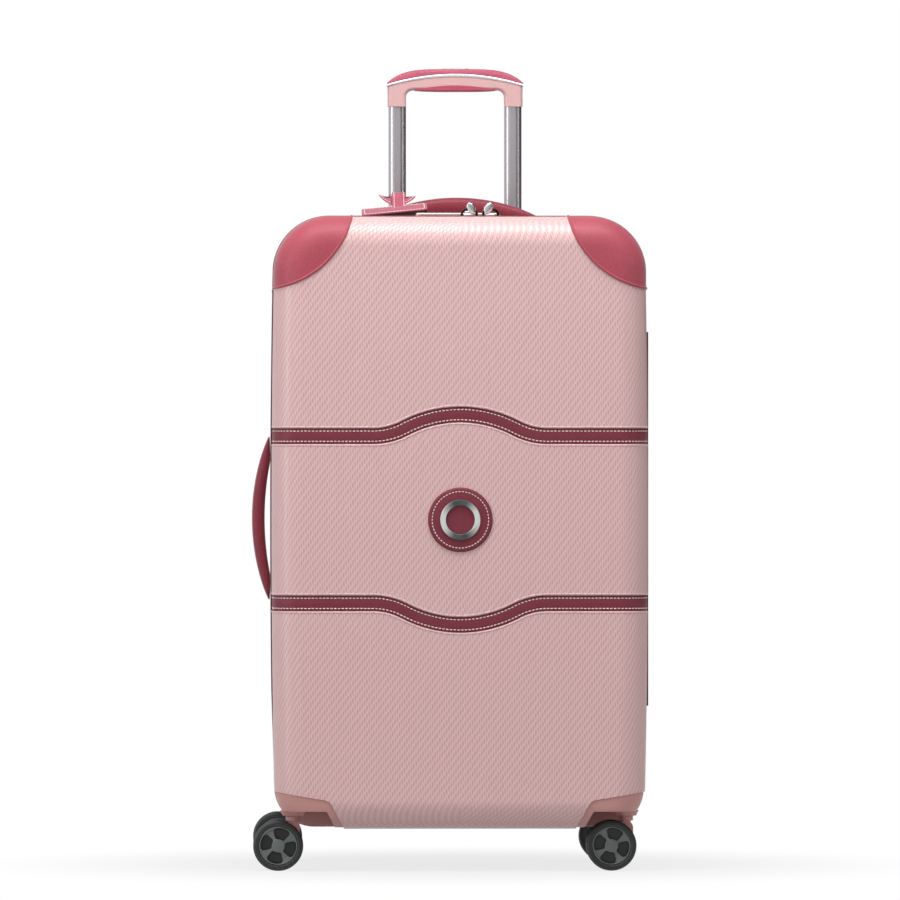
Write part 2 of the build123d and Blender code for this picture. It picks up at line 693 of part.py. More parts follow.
# Pieces made alike for the lid and the rear half
for half, rim_y, face_y, lining_y in (
    ("front", FRONT_RIM_Y, FRONT_Y, FRONT_Y),
    ("rear", REAR_RIM_Y, REAR_Y, TUBE_Y - SLEEVE_DEPTH / 2 - LINING_PANEL_GAP + LINING_GAP),
):
    outward = outward_sign(face_y)
    pieces = {
        "zip_tape": zip_tape(rim_y, face_y),
        "lining": case_lining(rim_y + outward * ZIP_REACH, lining_y),
        "wheel_housings": wheel_housings(rim_y, face_y),
        "swivel_pins": swivel_pins(face_y),
        "swivel_bearings": swivel_bearings(face_y),
        "straps": case_straps(rim_y, face_y),
        "corner_guards": corner_guards(rim_y, face_y),
    }
    for name, piece in pieces.items():
        piece.label = f"{half}_{name}"
        export_step(piece, f"parts/{half}_{name}.step")
    for hand, side in (("left", -1), ("right", 1)):
        pin_x = side * KINGPIN_X
        pin_y = face_y - outward * KINGPIN_INSET
        corner = f"{half}_{hand}"
        caster = {
            f"fork_{corner}": caster_fork(pin_x, pin_y),
            f"axle_{corner}": caster_axle(pin_x - TRAIL, pin_y),
            f"wheel_{corner}_a": caster_wheel(pin_x - TRAIL, pin_y, -1),
            f"wheel_{corner}_b": caster_wheel(pin_x - TRAIL, pin_y, 1),
        }
        for name, piece in caster.items():
            piece.label = name
            export_step(piece, f"parts/{name}.step")

# Medallion: a leather disc in front of the lid, held by a metal ring with two studs
FRONT_DISC = Plane(origin=(0, FRONT_Y, MEDALLION_Z), x_dir=(1, 0, 0), z_dir=(0, -1, 0))
STUD_PITCH = 2 * RING_RADIUS - RING_WIDTH
with BuildPart(FRONT_DISC) as medallion_disc:
    Cylinder(MEDALLION_RADIUS, MEDALLION_THICK, align=OVER)
    fillet(medallion_disc.edges().group_by(Axis.Y)[0], MEDALLION_THICK / 2)
    with GridLocations(STUD_PITCH, 0, 2, 1):
        Cylinder(RING_STUD_RADIUS + FIT, 2 * MEDALLION_THICK, mode=Mode.SUBTRACT)
medallion_disc.part.label = "medallion_disc"
export_step(medallion_disc.part, "parts/medallion_disc.step")

with BuildPart(FRONT_DISC) as medallion_ring:
    with Locations((0, 0, MEDALLION_THICK)):
        Cylinder(RING_RADIUS, RING_THICK, align=OVER)
        Cylinder(RING_RADIUS - RING_WIDTH, RING_THICK, align=OVER, mode=Mode.SUBTRACT)
    fillet(medallion_ring.edges().group_by(Axis.Y)[0], RING_THICK / 3)
    with GridLocations(STUD_PITCH, 0, 2, 1):
        with Locations((0, 0, MEDALLION_THICK)):
            Cylinder(RING_STUD_RADIUS, MEDALLION_THICK + RING_STUD_DEPTH, align=UNDER)
medallion_ring.part.label = "medallion_ring"
export_step(medallion_ring.part, "parts/medallion_ring.step")

# Rolled fabric welt on the hinge line
with BuildPart() as hinge_welt:
    with Locations((WELT_X, SEAM_Y, MEDALLION_Z)):
        Cylinder(WELT_RADIUS, WELT_LENGTH)
hinge_welt.part.label = "hinge_welt"
export_step(hinge_welt.part, "parts/hinge_welt.step")

# Fixed sleeves of the telescopic handle, with lock holes at the three stops
with BuildPart() as trolley_sleeves:
    with BuildSketch(Plane.XY.offset(FOOT_Z + FOOT_HEIGHT)):
        with Locations((0, TUBE_Y)):
            with GridLocations(2 * TUBE_X, 0, 2, 1):
                SlotOverall(SLEEVE_WIDTH, SLEEVE_DEPTH)
                SlotOverall(
                    SLEEVE_WIDTH - 2 * SLEEVE_WALL,
                    SLEEVE_DEPTH - 2 * SLEEVE_WALL,
                    mode=Mode.SUBTRACT,
                )
    extrude(amount=SLEEVE_TOP_Z - FOOT_Z - FOOT_HEIGHT)
    for side in (-1, 1):
        for stop in (-HANDLE_DOWN, 0, HANDLE_UP):
            hole_x = side * (TUBE_X + SLEEVE_WIDTH / 2)
            with Locations(Location((hole_x, TUBE_Y, PIN_Z + stop), (0, 90, 0))):
                Cylinder(LOCK_PIN_RADIUS + SEAT_GAP, SLEEVE_WIDTH / 2, mode=Mode.SUBTRACT)
trolley_sleeves.part.label = "trolley_sleeves"
export_step(trolley_sleeves.part, "parts/trolley_sleeves.step")

# Foot bracket that the sleeves stand on
with BuildPart() as trolley_foot:
    with BuildSketch(Plane.XY.offset(FOOT_Z)):
        with Locations((0, TUBE_Y)):
            RectangleRounded(2 * TUBE_X + SLEEVE_WIDTH, SLEEVE_DEPTH, SLEEVE_DEPTH / 3)
    extrude(amount=FOOT_HEIGHT)
    with BuildSketch(Plane.XY.offset(FOOT_Z + FOOT_HEIGHT)):
        with Locations((0, TUBE_Y)):
            with GridLocations(2 * TUBE_X, 0, 2, 1):
                SlotOverall(
                    SLEEVE_WIDTH - 2 * SLEEVE_WALL - 2 * FIT, SLEEVE_DEPTH - 2 * SLEEVE_WALL - 2 * FIT
                )
    extrude(amount=FOOT_SPIGOT)
trolley_foot.part.label = "trolley_foot"
export_step(trolley_foot.part, "parts/trolley_foot.step")

# Top bezel that guides the sliding tubes where they leave the case
with BuildPart() as trolley_bezel:
    with BuildSketch(Plane.XY.offset(CASE_TOP)):
        with Locations((0, TUBE_Y)):
            RectangleRounded(
                2 * TUBE_X + SLEEVE_WIDTH + 2 * BEZEL_MARGIN, SLEEVE_DEPTH + BEZEL_MARGIN, BEZEL_MARGIN
            )
    extrude(amount=BEZEL_HEIGHT)
    fillet(trolley_bezel.edges().group_by(Axis.Z)[-1], BEZEL_HEIGHT / 3)
    with BuildSketch(Plane.XY.offset(SLEEVE_TOP_Z)):
        with Locations((0, TUBE_Y)):
            with GridLocations(2 * TUBE_X, 0, 2, 1):
                SlotOverall(SLEEVE_WIDTH, SLEEVE_DEPTH)
    extrude(amount=CASE_TOP - SLEEVE_TOP_Z)
    with BuildSketch(Plane.XY.offset(SLEEVE_TOP_Z)):
        with Locations((0, TUBE_Y)):
            with GridLocations(2 * TUBE_X, 0, 2, 1):
                SlotOverall(TUBE_WIDTH + 2 * SEAT_GAP, TUBE_DEPTH + 2 * SEAT_GAP)
    extrude(amount=CASE_TOP, mode=Mode.SUBTRACT)
trolley_bezel.part.label = "trolley_bezel"
export_step(trolley_bezel.part, "parts/trolley_bezel.step")

# Sliding tubes
with BuildPart() as trolley_tubes:
    with BuildSketch(Plane.XY.offset(TUBE_BOTTOM_Z)):
        with Locations((0, TUBE_Y)):
            with GridLocations(2 * TUBE_X, 0, 2, 1):
                SlotOverall(TUBE_WIDTH, TUBE_DEPTH)
                SlotOverall(TUBE_WIDTH - 2 * TUBE_WALL, TUBE_DEPTH - 2 * TUBE_WALL, mode=Mode.SUBTRACT)
    extrude(amount=TUBE_LENGTH)
trolley_tubes.part.label = "trolley_tubes"
export_step(trolley_tubes.part, "parts/trolley_tubes.step")

# Guide plugs in the lower tube ends, bored for the lock pins and the release blades
PLUG_WIDTH = SLEEVE_WIDTH - 2 * SLEEVE_WALL - 2 * SEAT_GAP
PLUG_DEPTH = SLEEVE_DEPTH - 2 * SLEEVE_WALL - 2 * SEAT_GAP
BLADE_THICK = 2.8
BLADE_WIDTH = 2.6
BLADE_DOWN = 4.0
BLADE_UP = 9.0
BLADE_SHIFT = PIN_SLOPE * BLADE_UP
BLADE_ROOM = PIN_SLOPE * (BLADE_UP + BLADE_DOWN) + BLADE_WIDTH + 2 * SEAT_GAP
with BuildPart() as tube_plugs:
    with BuildSketch(Plane.XY.offset(TUBE_BOTTOM_Z - PLUG_LENGTH)):
        with Locations((0, TUBE_Y)):
            with GridLocations(2 * TUBE_X, 0, 2, 1):
                SlotOverall(PLUG_WIDTH, PLUG_DEPTH)
    extrude(amount=PLUG_LENGTH)
    with BuildSketch(Plane.XY.offset(TUBE_BOTTOM_Z)):
        with Locations((0, TUBE_Y)):
            with GridLocations(2 * TUBE_X, 0, 2, 1):
                SlotOverall(TUBE_WIDTH - 2 * TUBE_WALL - 2 * FIT, TUBE_DEPTH - 2 * TUBE_WALL - 2 * FIT)
    extrude(amount=PLUG_SPIGOT)
    for side in (-1, 1):
        room_x = side * (TUBE_X + PIN_SLOPE * (BLADE_UP + BLADE_DOWN) / 2)
        with Locations((room_x, TUBE_Y, PIN_Z + BLADE_UP)):
            Box(
                BLADE_ROOM,
                BLADE_THICK + 2 * SEAT_GAP,
                BLADE_UP + BLADE_DOWN + BUTTON_TRAVEL + SEAT_GAP,
                align=UNDER,
                mode=Mode.SUBTRACT,
            )
    with BuildSketch(Plane.XY.offset(PIN_Z)):
        with Locations((0, TUBE_Y)):
            with GridLocations(2 * TUBE_X, 0, 2, 1):
                Circle(ROD_RADIUS + SEAT_GAP)
    extrude(amount=PLUG_LENGTH + PLUG_SPIGOT, mode=Mode.SUBTRACT)
    for side in (-1, 1):
        with Locations(Location((side * TUBE_X, TUBE_Y, PIN_Z), (0, 90, 0))):
            Cylinder(LOCK_PIN_RADIUS + RUN, 2 * PLUG_WIDTH, mode=Mode.SUBTRACT)
tube_plugs.part.label = "tube_plugs"
export_step(tube_plugs.part, "parts/tube_plugs.step")


def blade_outline(side, width, down, up):
    """Slanted front-view outline of a release blade about its pin, hung from the rod above."""
    lean = -side * PIN_SLOPE
    mid = side * BLADE_SHIFT
    with BuildSketch() as outline:
        with BuildLine():
            Polyline(
                (mid - width / 2 - lean * down, -down),
                (mid + width / 2 - lean * down, -down),
                (mid + width / 2 + lean * up, up),
                (mid - width / 2 + lean * up, up),
                close=True,
            )
        make_face()
    return outline.sketch


# Lock pins, drawn in by the slanted release blades
PIN_INNER = 6.0
PIN_OUTER = PLUG_WIDTH / 2 - LOCK_PIN_BACK
for hand, side in (("left", -1), ("right", 1)):
    blade_plane = Plane(origin=(side * TUBE_X, TUBE_Y, PIN_Z), x_dir=(1, 0, 0), z_dir=(0, -1, 0))
    with BuildPart() as lock_pin:
        with Locations(Location((side * TUBE_X, TUBE_Y, PIN_Z), (0, side * 90, 0))):
            with Locations((0, 0, -PIN_INNER)):
                Cylinder(LOCK_PIN_RADIUS, PIN_INNER + PIN_OUTER, align=OVER)
        with BuildSketch(blade_plane):
            add(blade_outline(side, BLADE_WIDTH + 2 * RUN, PAST, PAST))
        extrude(amount=BLADE_THICK / 2 + RUN, both=True, mode=Mode.SUBTRACT)
    lock_pin.part.label = f"lock_pin_{hand}"
    export_step(lock_pin.part, f"parts/lock_pin_{hand}.step")

# Release rods with their blades
with BuildPart() as release_rods:
    for side in (-1, 1):
        blade_plane = Plane(origin=(side * TUBE_X, TUBE_Y, PIN_Z), x_dir=(1, 0, 0), z_dir=(0, -1, 0))
        with BuildSketch(blade_plane):
            add(blade_outline(side, BLADE_WIDTH, BLADE_DOWN, BLADE_UP))
        extrude(amount=BLADE_THICK / 2, both=True)
        with Locations((side * TUBE_X, TUBE_Y, PIN_Z + BLADE_UP - ROD_RADIUS)):
            Cylinder(ROD_RADIUS, CROSSBAR_Z - PIN_Z - BLADE_UP + ROD_RADIUS, align=OVER)
release_rods.part.label = "release_rods"
export_step(release_rods.part, "parts/release_rods.step")

# Release button on its stem and crossbar
STEM_LENGTH = BUTTON_LENGTH - 2 * STEM_END_ROOM
STEM_WIDTH = BUTTON_WIDTH - 2 * STEM_SIDE_ROOM
CAP_LOW_Z = GRIP_CROWN_Z + BUTTON_TRAVEL + 2 * SEAT_GAP
BUTTON_TOP_Z = LEATHER_CROWN_Z + SEAT_GAP
with BuildPart() as release_button:
    with Locations((0, TUBE_Y, CROSSBAR_Z)):
        Box(2 * TUBE_X + 2 * ROD_RADIUS, CROSSBAR_WIDTH, CROSSBAR_THICK, align=OVER)
        Box(STEM_LENGTH, STEM_WIDTH, CAP_LOW_Z - CROSSBAR_Z, align=OVER)
    with BuildSketch(Plane.XY.offset(CAP_LOW_Z)):
        with Locations((0, TUBE_Y)):
            SlotOverall(BUTTON_LENGTH, BUTTON_WIDTH)
    extrude(amount=BUTTON_TOP_Z - CAP_LOW_Z)
    fillet(release_button.edges().group_by(Axis.Z)[-1], BUTTON_ROUND)
release_button.part.label = "release_button"
export_step(release_button.part, "parts/release_button.step")

GRIP_FRONT = Plane(origin=(0, TUBE_Y, 0), x_dir=(1, 0, 0), z_dir=(0, -1, 0))
GRIP_INNER = GRIP_HALF - GRIP_LEG

# Grip body: a bridge on two legs, hollow for the crossbar
with BuildPart() as grip_body:
    with BuildSketch(GRIP_FRONT) as bridge:
        with BuildLine():
            ThreePointArc((-GRIP_HALF, GRIP_SHOULDER_Z), (0, GRIP_CROWN_Z), (GRIP_HALF, GRIP_SHOULDER_Z))
            Polyline(
                (GRIP_HALF, GRIP_SHOULDER_Z),
                (GRIP_HALF, GRIP_BASE_Z),
                (GRIP_INNER, GRIP_BASE_Z),
                (GRIP_INNER, GRIP_BAR_Z),
                (-GRIP_INNER, GRIP_BAR_Z),
                (-GRIP_INNER, GRIP_BASE_Z),
                (-GRIP_HALF, GRIP_BASE_Z),
                (-GRIP_HALF, GRIP_SHOULDER_Z),
            )
        make_face()
        for side in (-1, 1):
            corner = bridge.vertices().sort_by_distance((side * GRIP_INNER, GRIP_BAR_Z))[0]
            fillet(corner, GRIP_INNER_ROUND)
    extrude(amount=GRIP_DEPTH / 2, both=True)
    fillet(grip_body.edges().filter_by(Axis.Z), GRIP_EDGE_ROUND)
    with BuildSketch(Plane.XY.offset(GRIP_BASE_Z)):
        with Locations((0, TUBE_Y)):
            with GridLocations(2 * TUBE_X, 0, 2, 1):
                SlotOverall(TUBE_WIDTH + 2 * FIT, TUBE_DEPTH + 2 * FIT)
    extrude(amount=GRIP_SOCKET, mode=Mode.SUBTRACT)
    with Locations((0, TUBE_Y, CROSSBAR_Z - BUTTON_TRAVEL - SEAT_GAP)):
        Box(
            2 * TUBE_X + 2 * ROD_RADIUS + 2 * SEAT_GAP,
            CROSSBAR_WIDTH + 2 * SEAT_GAP,
            CROSSBAR_THICK + BUTTON_TRAVEL + 2 * SEAT_GAP,
            align=OVER,
            mode=Mode.SUBTRACT,
        )
        Box(STEM_LENGTH + 2 * SEAT_GAP, STEM_WIDTH + 2 * SEAT_GAP, CASE_TOP, align=OVER, mode=Mode.SUBTRACT)
    for side in (-1, 1):
        with Locations((side * TUBE_X, TUBE_Y, GRIP_BASE_Z)):
            Cylinder(ROD_RADIUS + SEAT_GAP, CROSSBAR_Z - GRIP_BASE_Z, align=OVER, mode=Mode.SUBTRACT)
grip_body.part.label = "grip_body"
export_step(grip_body.part, "parts/grip_body.step")

# Bright trim line over the grip body
with BuildPart() as grip_trim:
    with BuildSketch(GRIP_FRONT):
        with BuildLine():
            ThreePointArc(
                (-GRIP_HALF, GRIP_SHOULDER_Z + FIT),
                (0, GRIP_CROWN_Z + FIT),
                (GRIP_HALF, GRIP_SHOULDER_Z + FIT),
            )
            Line((GRIP_HALF, GRIP_SHOULDER_Z + FIT), (GRIP_HALF, GRIP_SHOULDER_Z + TRIM_THICK))
            ThreePointArc(
                (GRIP_HALF, GRIP_SHOULDER_Z + TRIM_THICK),
                (0, GRIP_CROWN_Z + TRIM_THICK),
                (-GRIP_HALF, GRIP_SHOULDER_Z + TRIM_THICK),
            )
            Line((-GRIP_HALF, GRIP_SHOULDER_Z + TRIM_THICK), (-GRIP_HALF, GRIP_SHOULDER_Z + FIT))
        make_face()
    extrude(amount=GRIP_DEPTH / 2, both=True)
    with Locations((0, TUBE_Y, CROSSBAR_Z)):
        Box(
            BUTTON_LENGTH + 2 * SEAT_GAP,
            BUTTON_WIDTH + 2 * SEAT_GAP,
            CASE_TOP,
            align=OVER,
            mode=Mode.SUBTRACT,
        )
grip_trim.part.label = "grip_trim"
export_step(grip_trim.part, "parts/grip_trim.step")

# Leather of the grip: the top cover and the pad under the bar
LEATHER_LOW = TRIM_THICK + FIT
with BuildPart() as grip_leather:
    with BuildSketch(GRIP_FRONT):
        with BuildLine():
            ThreePointArc(
                (-GRIP_HALF, GRIP_SHOULDER_Z + LEATHER_LOW),
                (0, GRIP_CROWN_Z + LEATHER_LOW),
                (GRIP_HALF, GRIP_SHOULDER_Z + LEATHER_LOW),
            )
            Line((GRIP_HALF, GRIP_SHOULDER_Z + LEATHER_LOW), (GRIP_HALF, LEATHER_SHOULDER_Z))
            ThreePointArc(
                (GRIP_HALF, LEATHER_SHOULDER_Z), (0, LEATHER_CROWN_Z), (-GRIP_HALF, LEATHER_SHOULDER_Z)
            )
            Line((-GRIP_HALF, LEATHER_SHOULDER_Z), (-GRIP_HALF, GRIP_SHOULDER_Z + LEATHER_LOW))
        make_face()
    extrude(amount=GRIP_DEPTH / 2, both=True)
    fillet(grip_leather.faces().sort_by(Axis.Z)[-1].edges().filter_by(GeomType.CIRCLE), 2.0)
    with BuildSketch(Plane.XY.offset(CROSSBAR_Z)):
        with Locations((0, TUBE_Y)):
            SlotOverall(BUTTON_LENGTH + 2 * SEAT_GAP, BUTTON_WIDTH + 2 * SEAT_GAP)
    extrude(amount=LEATHER_CROWN_Z, mode=Mode.SUBTRACT)
    with BuildSketch(Plane.YZ):
        with Locations((TUBE_Y, GRIP_BAR_Z - FIT - PAD_THICK)):
            Rectangle(GRIP_DEPTH + 2 * PAD_THICK, PAD_HEIGHT, align=(Align.CENTER, Align.MIN))
        with Locations((TUBE_Y, GRIP_BAR_Z - FIT)):
            Rectangle(GRIP_DEPTH + 2 * FIT, PAD_HEIGHT, align=(Align.CENTER, Align.MIN), mode=Mode.SUBTRACT)
    extrude(amount=GRIP_INNER - 10.0, both=True)
grip_leather.part.label = "grip_leather"
export_step(grip_leather.part, "parts/grip_leather.step")

# Carry handles and the guides that their tongues run in
for name, base in (("top_handle", TOP_BASE), ("side_handle", SIDE_BASE)):
    piece = carry_handle(base)
    piece.label = name
    export_step(piece, f"parts/{name}.step")
with BuildPart() as handle_guides:
    guide_top = -WALL - GUIDE_GAP
    for base in (TOP_BASE, SIDE_BASE):
        add(
            tongue_slots(
                base,
                TONGUE_THICK + 2 * GUIDE_WALL,
                TONGUE_WIDTH + 2 * GUIDE_WALL,
                guide_top,
                guide_top - GUIDE_LENGTH,
            )
        )
        add(tongue_slots(base, SLOT_THICK, SLOT_WIDE, 0, -2 * TONGUE_LENGTH), mode=Mode.SUBTRACT)
handle_guides.part.label = "handle_guides"
export_step(handle_guides.part, "parts/handle_guides.step")

# Combination lock: a lipped body, three dials on a shaft line and a sliding latch
DIAL_Z = LOCK_TOP_Z + DIAL_RISE - DIAL_RADIUS
DIAL_ROOM = 2 * DIAL_RADIUS + 2 * SEAT_GAP
DIAL_X = [DIAL_FIRST_X + i * DIAL_PITCH for i in range(3)]
with BuildPart() as lock_body:
    with BuildSketch(Plane.XY.offset(CASE_TOP)):
        with Locations((0, LOCK_Y)):
            RectangleRounded(LOCK_LENGTH, LOCK_WIDTH, LOCK_LIP)
    extrude(amount=LOCK_HEIGHT)
    fillet(lock_body.edges().group_by(Axis.Z)[-1], LOCK_LIP / 2)
    with BuildSketch(Plane.XY.offset(CASE_TOP)):
        with Locations((0, LOCK_Y)):
            Rectangle(LOCK_LENGTH - 2 * LOCK_LIP, LOCK_WIDTH - 2 * LOCK_LIP)
    extrude(amount=-LOCK_SUNK)
    for x in DIAL_X:
        with Locations((x, LOCK_Y, DIAL_Z)):
            Box(DIAL_WIDTH + 2 * SEAT_GAP, DIAL_ROOM, DIAL_ROOM, mode=Mode.SUBTRACT)
    with Locations(Location((DIAL_X[1], LOCK_Y, DIAL_Z), (0, 90, 0))):
        Cylinder(SHAFT_RADIUS, 4 * DIAL_PITCH)
    with Locations((LATCH_X, LOCK_Y, LOCK_TOP_Z)):
        Box(
            LATCH_LENGTH + 2 * LATCH_TRAVEL,
            LATCH_WIDTH + 2 * SEAT_GAP,
            2 * LATCH_DEPTH,
            mode=Mode.SUBTRACT,
        )
lock_body.part.label = "lock_body"
export_step(lock_body.part, "parts/lock_body.step")

for index, x in enumerate(DIAL_X):
    with BuildPart() as lock_dial:
        with Locations(Location((x, LOCK_Y, DIAL_Z), (0, 90, 0))):
            Cylinder(DIAL_RADIUS, DIAL_WIDTH)
            Cylinder(SHAFT_RADIUS + RUN, DIAL_WIDTH, mode=Mode.SUBTRACT)
    lock_dial.part.label = f"lock_dial_{index + 1}"
    export_step(lock_dial.part, f"parts/lock_dial_{index + 1}.step")

with BuildPart() as lock_latch:
    with Locations((LATCH_X, LOCK_Y, LOCK_TOP_Z - LATCH_DEPTH)):
        Box(LATCH_LENGTH, LATCH_WIDTH, 2 * LATCH_DEPTH, align=OVER)
    fillet(lock_latch.edges().group_by(Axis.Z)[-1], LATCH_DEPTH / 2)
lock_latch.part.label = "lock_latch"
export_step(lock_latch.part, "parts/lock_latch.step")

# Zip sliders: a body astride the zip and a leaf-shaped puller that stands up
SLIDER_Z = CASE_TOP + ZIP_PROUD + SEAT_GAP
for hand, x, lean in (("left", SLIDER_X[0], PULLER_LEAN), ("right", SLIDER_X[1], -PULLER_LEAN)):
    leaf = Plane(
        origin=(x, SEAM_Y, SLIDER_Z + SLIDER_HEIGHT - PULLER_SET),
        x_dir=(math.cos(math.radians(lean)), 0, math.sin(math.radians(lean))),
        z_dir=(0, -1, 0),
    )
    with BuildPart() as zip_slider:
        with Locations((x, SEAM_Y, SLIDER_Z)):
            Box(SLIDER_LENGTH, SLIDER_WIDTH, SLIDER_HEIGHT, align=OVER)
        fillet(zip_slider.edges().filter_by(Axis.Z), SLIDER_WIDTH / 4)
        with BuildSketch(leaf):
            with BuildLine():
                tip = (0, PULLER_LENGTH)
                ThreePointArc((0, 0), (PULLER_WIDTH / 2, PULLER_LENGTH / 2), tip)
                ThreePointArc(tip, (-PULLER_WIDTH / 2, PULLER_LENGTH / 2), (0, 0))
            make_face()
        extrude(amount=PULLER_THICK / 2, both=True)
    zip_slider.part.label = f"zip_slider_{hand}"
    export_step(zip_slider.part, f"parts/zip_slider_{hand}.step")

# Luggage tag: a stitched plate, a strap that rises over the carry handle and an eye round the tube
TAG_STRAP_X = -TUBE_X
TAG_PLANE = Plane(Location(TAG_CENTRE, (TAG_PITCH, TAG_ROLL, 0)))
STRAP_FOOT_Y = TAG_CENTRE[1] + TAG_STRAP_LAP
STRAP_FOOT_Z = TAG_CENTRE[2] + TAG_THICK / 2 - TAG_STRAP_SET
EYE_FRONT_Y = TUBE_Y - TAG_EYE_WIDTH / 2 + TAG_EYE_LAP
with BuildPart() as luggage_tag:
    with BuildSketch(TAG_PLANE):
        RectangleRounded(TAG_LENGTH, TAG_WIDTH, TAG_CORNER)
    extrude(amount=TAG_THICK / 2, both=True)
    with BuildSketch(Plane.YZ.offset(TAG_STRAP_X - TAG_STRAP_WIDTH / 2)):
        with BuildLine() as run:
            FilletPolyline(
                (STRAP_FOOT_Y, STRAP_FOOT_Z),
                (CARRY_Y - CARRY_WIDTH, TAG_STRAP_TOP),
                (CARRY_Y + CARRY_WIDTH, TAG_STRAP_TOP),
                (EYE_FRONT_Y - TAG_EYE_LEAD, TAG_EYE_Z),
                (EYE_FRONT_Y, TAG_EYE_Z),
                radius=TAG_STRAP_BEND,
            )
            offset(amount=TAG_STRAP_THICK, side=Side.LEFT)
        make_face()
    extrude(amount=TAG_STRAP_WIDTH)
    with BuildSketch(Plane.XY.offset(TAG_EYE_Z)):
        with Locations((-TUBE_X, TUBE_Y)):
            Ellipse(TAG_EYE_LENGTH / 2, TAG_EYE_WIDTH / 2)
            Circle(TAG_EYE_HOLE, mode=Mode.SUBTRACT)
    extrude(amount=TAG_STRAP_THICK)
luggage_tag.part.label = "luggage_tag"
export_step(luggage_tag.part, "parts/luggage_tag.step")
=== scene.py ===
"""Looks of an upright hard shell suitcase on wheels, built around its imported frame."""

import logging
import math
from collections.abc import Callable, Iterable, Sequence
from dataclasses import dataclass
from enum import Enum
from itertools import product

import bpy
from bpy.types import ID, Material, Node, NodeSocket, NodeTree, Object
from mathutils import Matrix, Vector, noise


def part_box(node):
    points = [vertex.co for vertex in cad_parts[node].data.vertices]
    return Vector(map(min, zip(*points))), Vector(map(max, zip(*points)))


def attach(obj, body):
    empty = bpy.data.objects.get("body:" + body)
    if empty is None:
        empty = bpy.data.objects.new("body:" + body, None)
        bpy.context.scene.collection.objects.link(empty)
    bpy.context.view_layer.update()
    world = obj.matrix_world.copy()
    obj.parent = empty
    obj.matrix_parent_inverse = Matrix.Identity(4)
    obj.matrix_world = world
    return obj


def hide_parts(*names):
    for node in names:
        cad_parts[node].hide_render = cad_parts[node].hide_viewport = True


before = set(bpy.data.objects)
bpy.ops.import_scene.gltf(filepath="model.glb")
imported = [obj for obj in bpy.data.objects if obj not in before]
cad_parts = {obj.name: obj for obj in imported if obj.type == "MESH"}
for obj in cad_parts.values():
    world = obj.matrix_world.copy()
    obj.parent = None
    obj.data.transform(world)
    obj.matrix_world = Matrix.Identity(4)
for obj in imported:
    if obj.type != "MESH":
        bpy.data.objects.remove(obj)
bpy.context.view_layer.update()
LOG = logging.getLogger("suitcase")
MM = 0.001
FULL_TURN = 2 * math.pi
SMOOTH_ANGLE = math.radians(38)
HANDLE_Y = 35 * MM
SIDE_HANDLE_Z = 392 * MM
TOP_HANDLE_RISE = 25 * MM
SIDE_HANDLE_RISE = 22 * MM

Path = list[tuple[Vector, Vector]]
Profile = tuple[tuple[float, float], ...]
Settings = dict[str | int, object]
EMPTY: Settings = {}


def linear(hex_code: str) -> tuple[float, float, float, float]:
    """Turns an sRGB hex colour into linear RGBA.

    Args:
        hex_code: The colour as #RRGGBB.

    Returns:
        The linear colour with full alpha.
    """
    parts = [int(hex_code[i : i + 2], 16) / 255 for i in (1, 3, 5)]
    red, green, blue = (p / 12.92 if p <= 0.04045 else ((p + 0.055) / 1.055) ** 2.4 for p in parts)
    return red, green, blue, 1.0


def add_node(tree: NodeTree, kind: str, settings: Settings = EMPTY, links: Settings = EMPTY) -> Node:
    """Adds one node with its settings and links.

    Args:
        tree: The node tree to add to.
        kind: The node's type name without the words ShaderNode that all begin with.
        settings: Lower-case names are node properties, all other keys are input sockets.
        links: Input sockets and the node or output socket that feeds each.

    Returns:
        The new node.
    """
    node = tree.nodes.new(f"ShaderNode{kind}")
    for key, value in settings.items():
        if isinstance(key, str) and key.islower():
            setattr(node, key, value)
        else:
            node.inputs[key].default_value = value
    for key, source in links.items():
        output = source.outputs[0] if isinstance(source, Node) else source
        tree.links.new(output, node.inputs[key])
    return node


@dataclass(frozen=True)
class Finish:
    """A material with a colour, a second colour for its pattern and a roughness range."""

    name: str
    colour: str
    shade: str
    smooth: float
    rough: float

    def material(self) -> Material:
        """Builds the material once and returns it.

        Returns:
            The material of this finish.
        """
        made = bpy.data.materials.get(self.name)
        if made:
            return made
        made = bpy.data.materials.new(self.name)
        made.use_nodes = True
        tree = made.node_tree
        shader = tree.nodes["Principled BSDF"]
        coords = add_node(tree, "TexCoord")
        self.dress(tree, shader, coords)
        return made

    def dress(self, tree: NodeTree, shader: Node, coords: Node) -> None:
        """Links the finish's own pattern to the shader.

        Args:
            tree: The material's node tree.
            shader: Its Principled shader.
            coords: Its texture coordinate node.
        """
        raise NotImplementedError

    def blend(self, tree: NodeTree, shader: Node, factor: Node | NodeSocket, bump: float) -> None:
        """Mixes the two colours, the roughness range and the bump by one factor.

        Args:
            tree: The material's node tree.
            shader: Its Principled shader.
            factor: The pattern, 0 for the colour and 1 for the shade.
            bump: The height of the pattern in metres; the shade lies low.
        """
        mix = add_node(
            tree,
            "Mix",
            {"data_type": "RGBA", 6: linear(self.colour), 7: linear(self.shade)},
            {0: factor},
        )
        tree.links.new(mix.outputs[2], shader.inputs["Base Color"])
        level = add_node(tree, "MapRange", {3: self.smooth, 4: self.rough}, {0: factor})
        tree.links.new(level.outputs[0], shader.inputs["Roughness"])
        relief = add_node(
            tree, "Bump", {"invert": True, "Strength": 1.0, "Distance": bump}, {"Height": factor}
        )
        tree.links.new(relief.outputs[0], shader.inputs["Normal"])


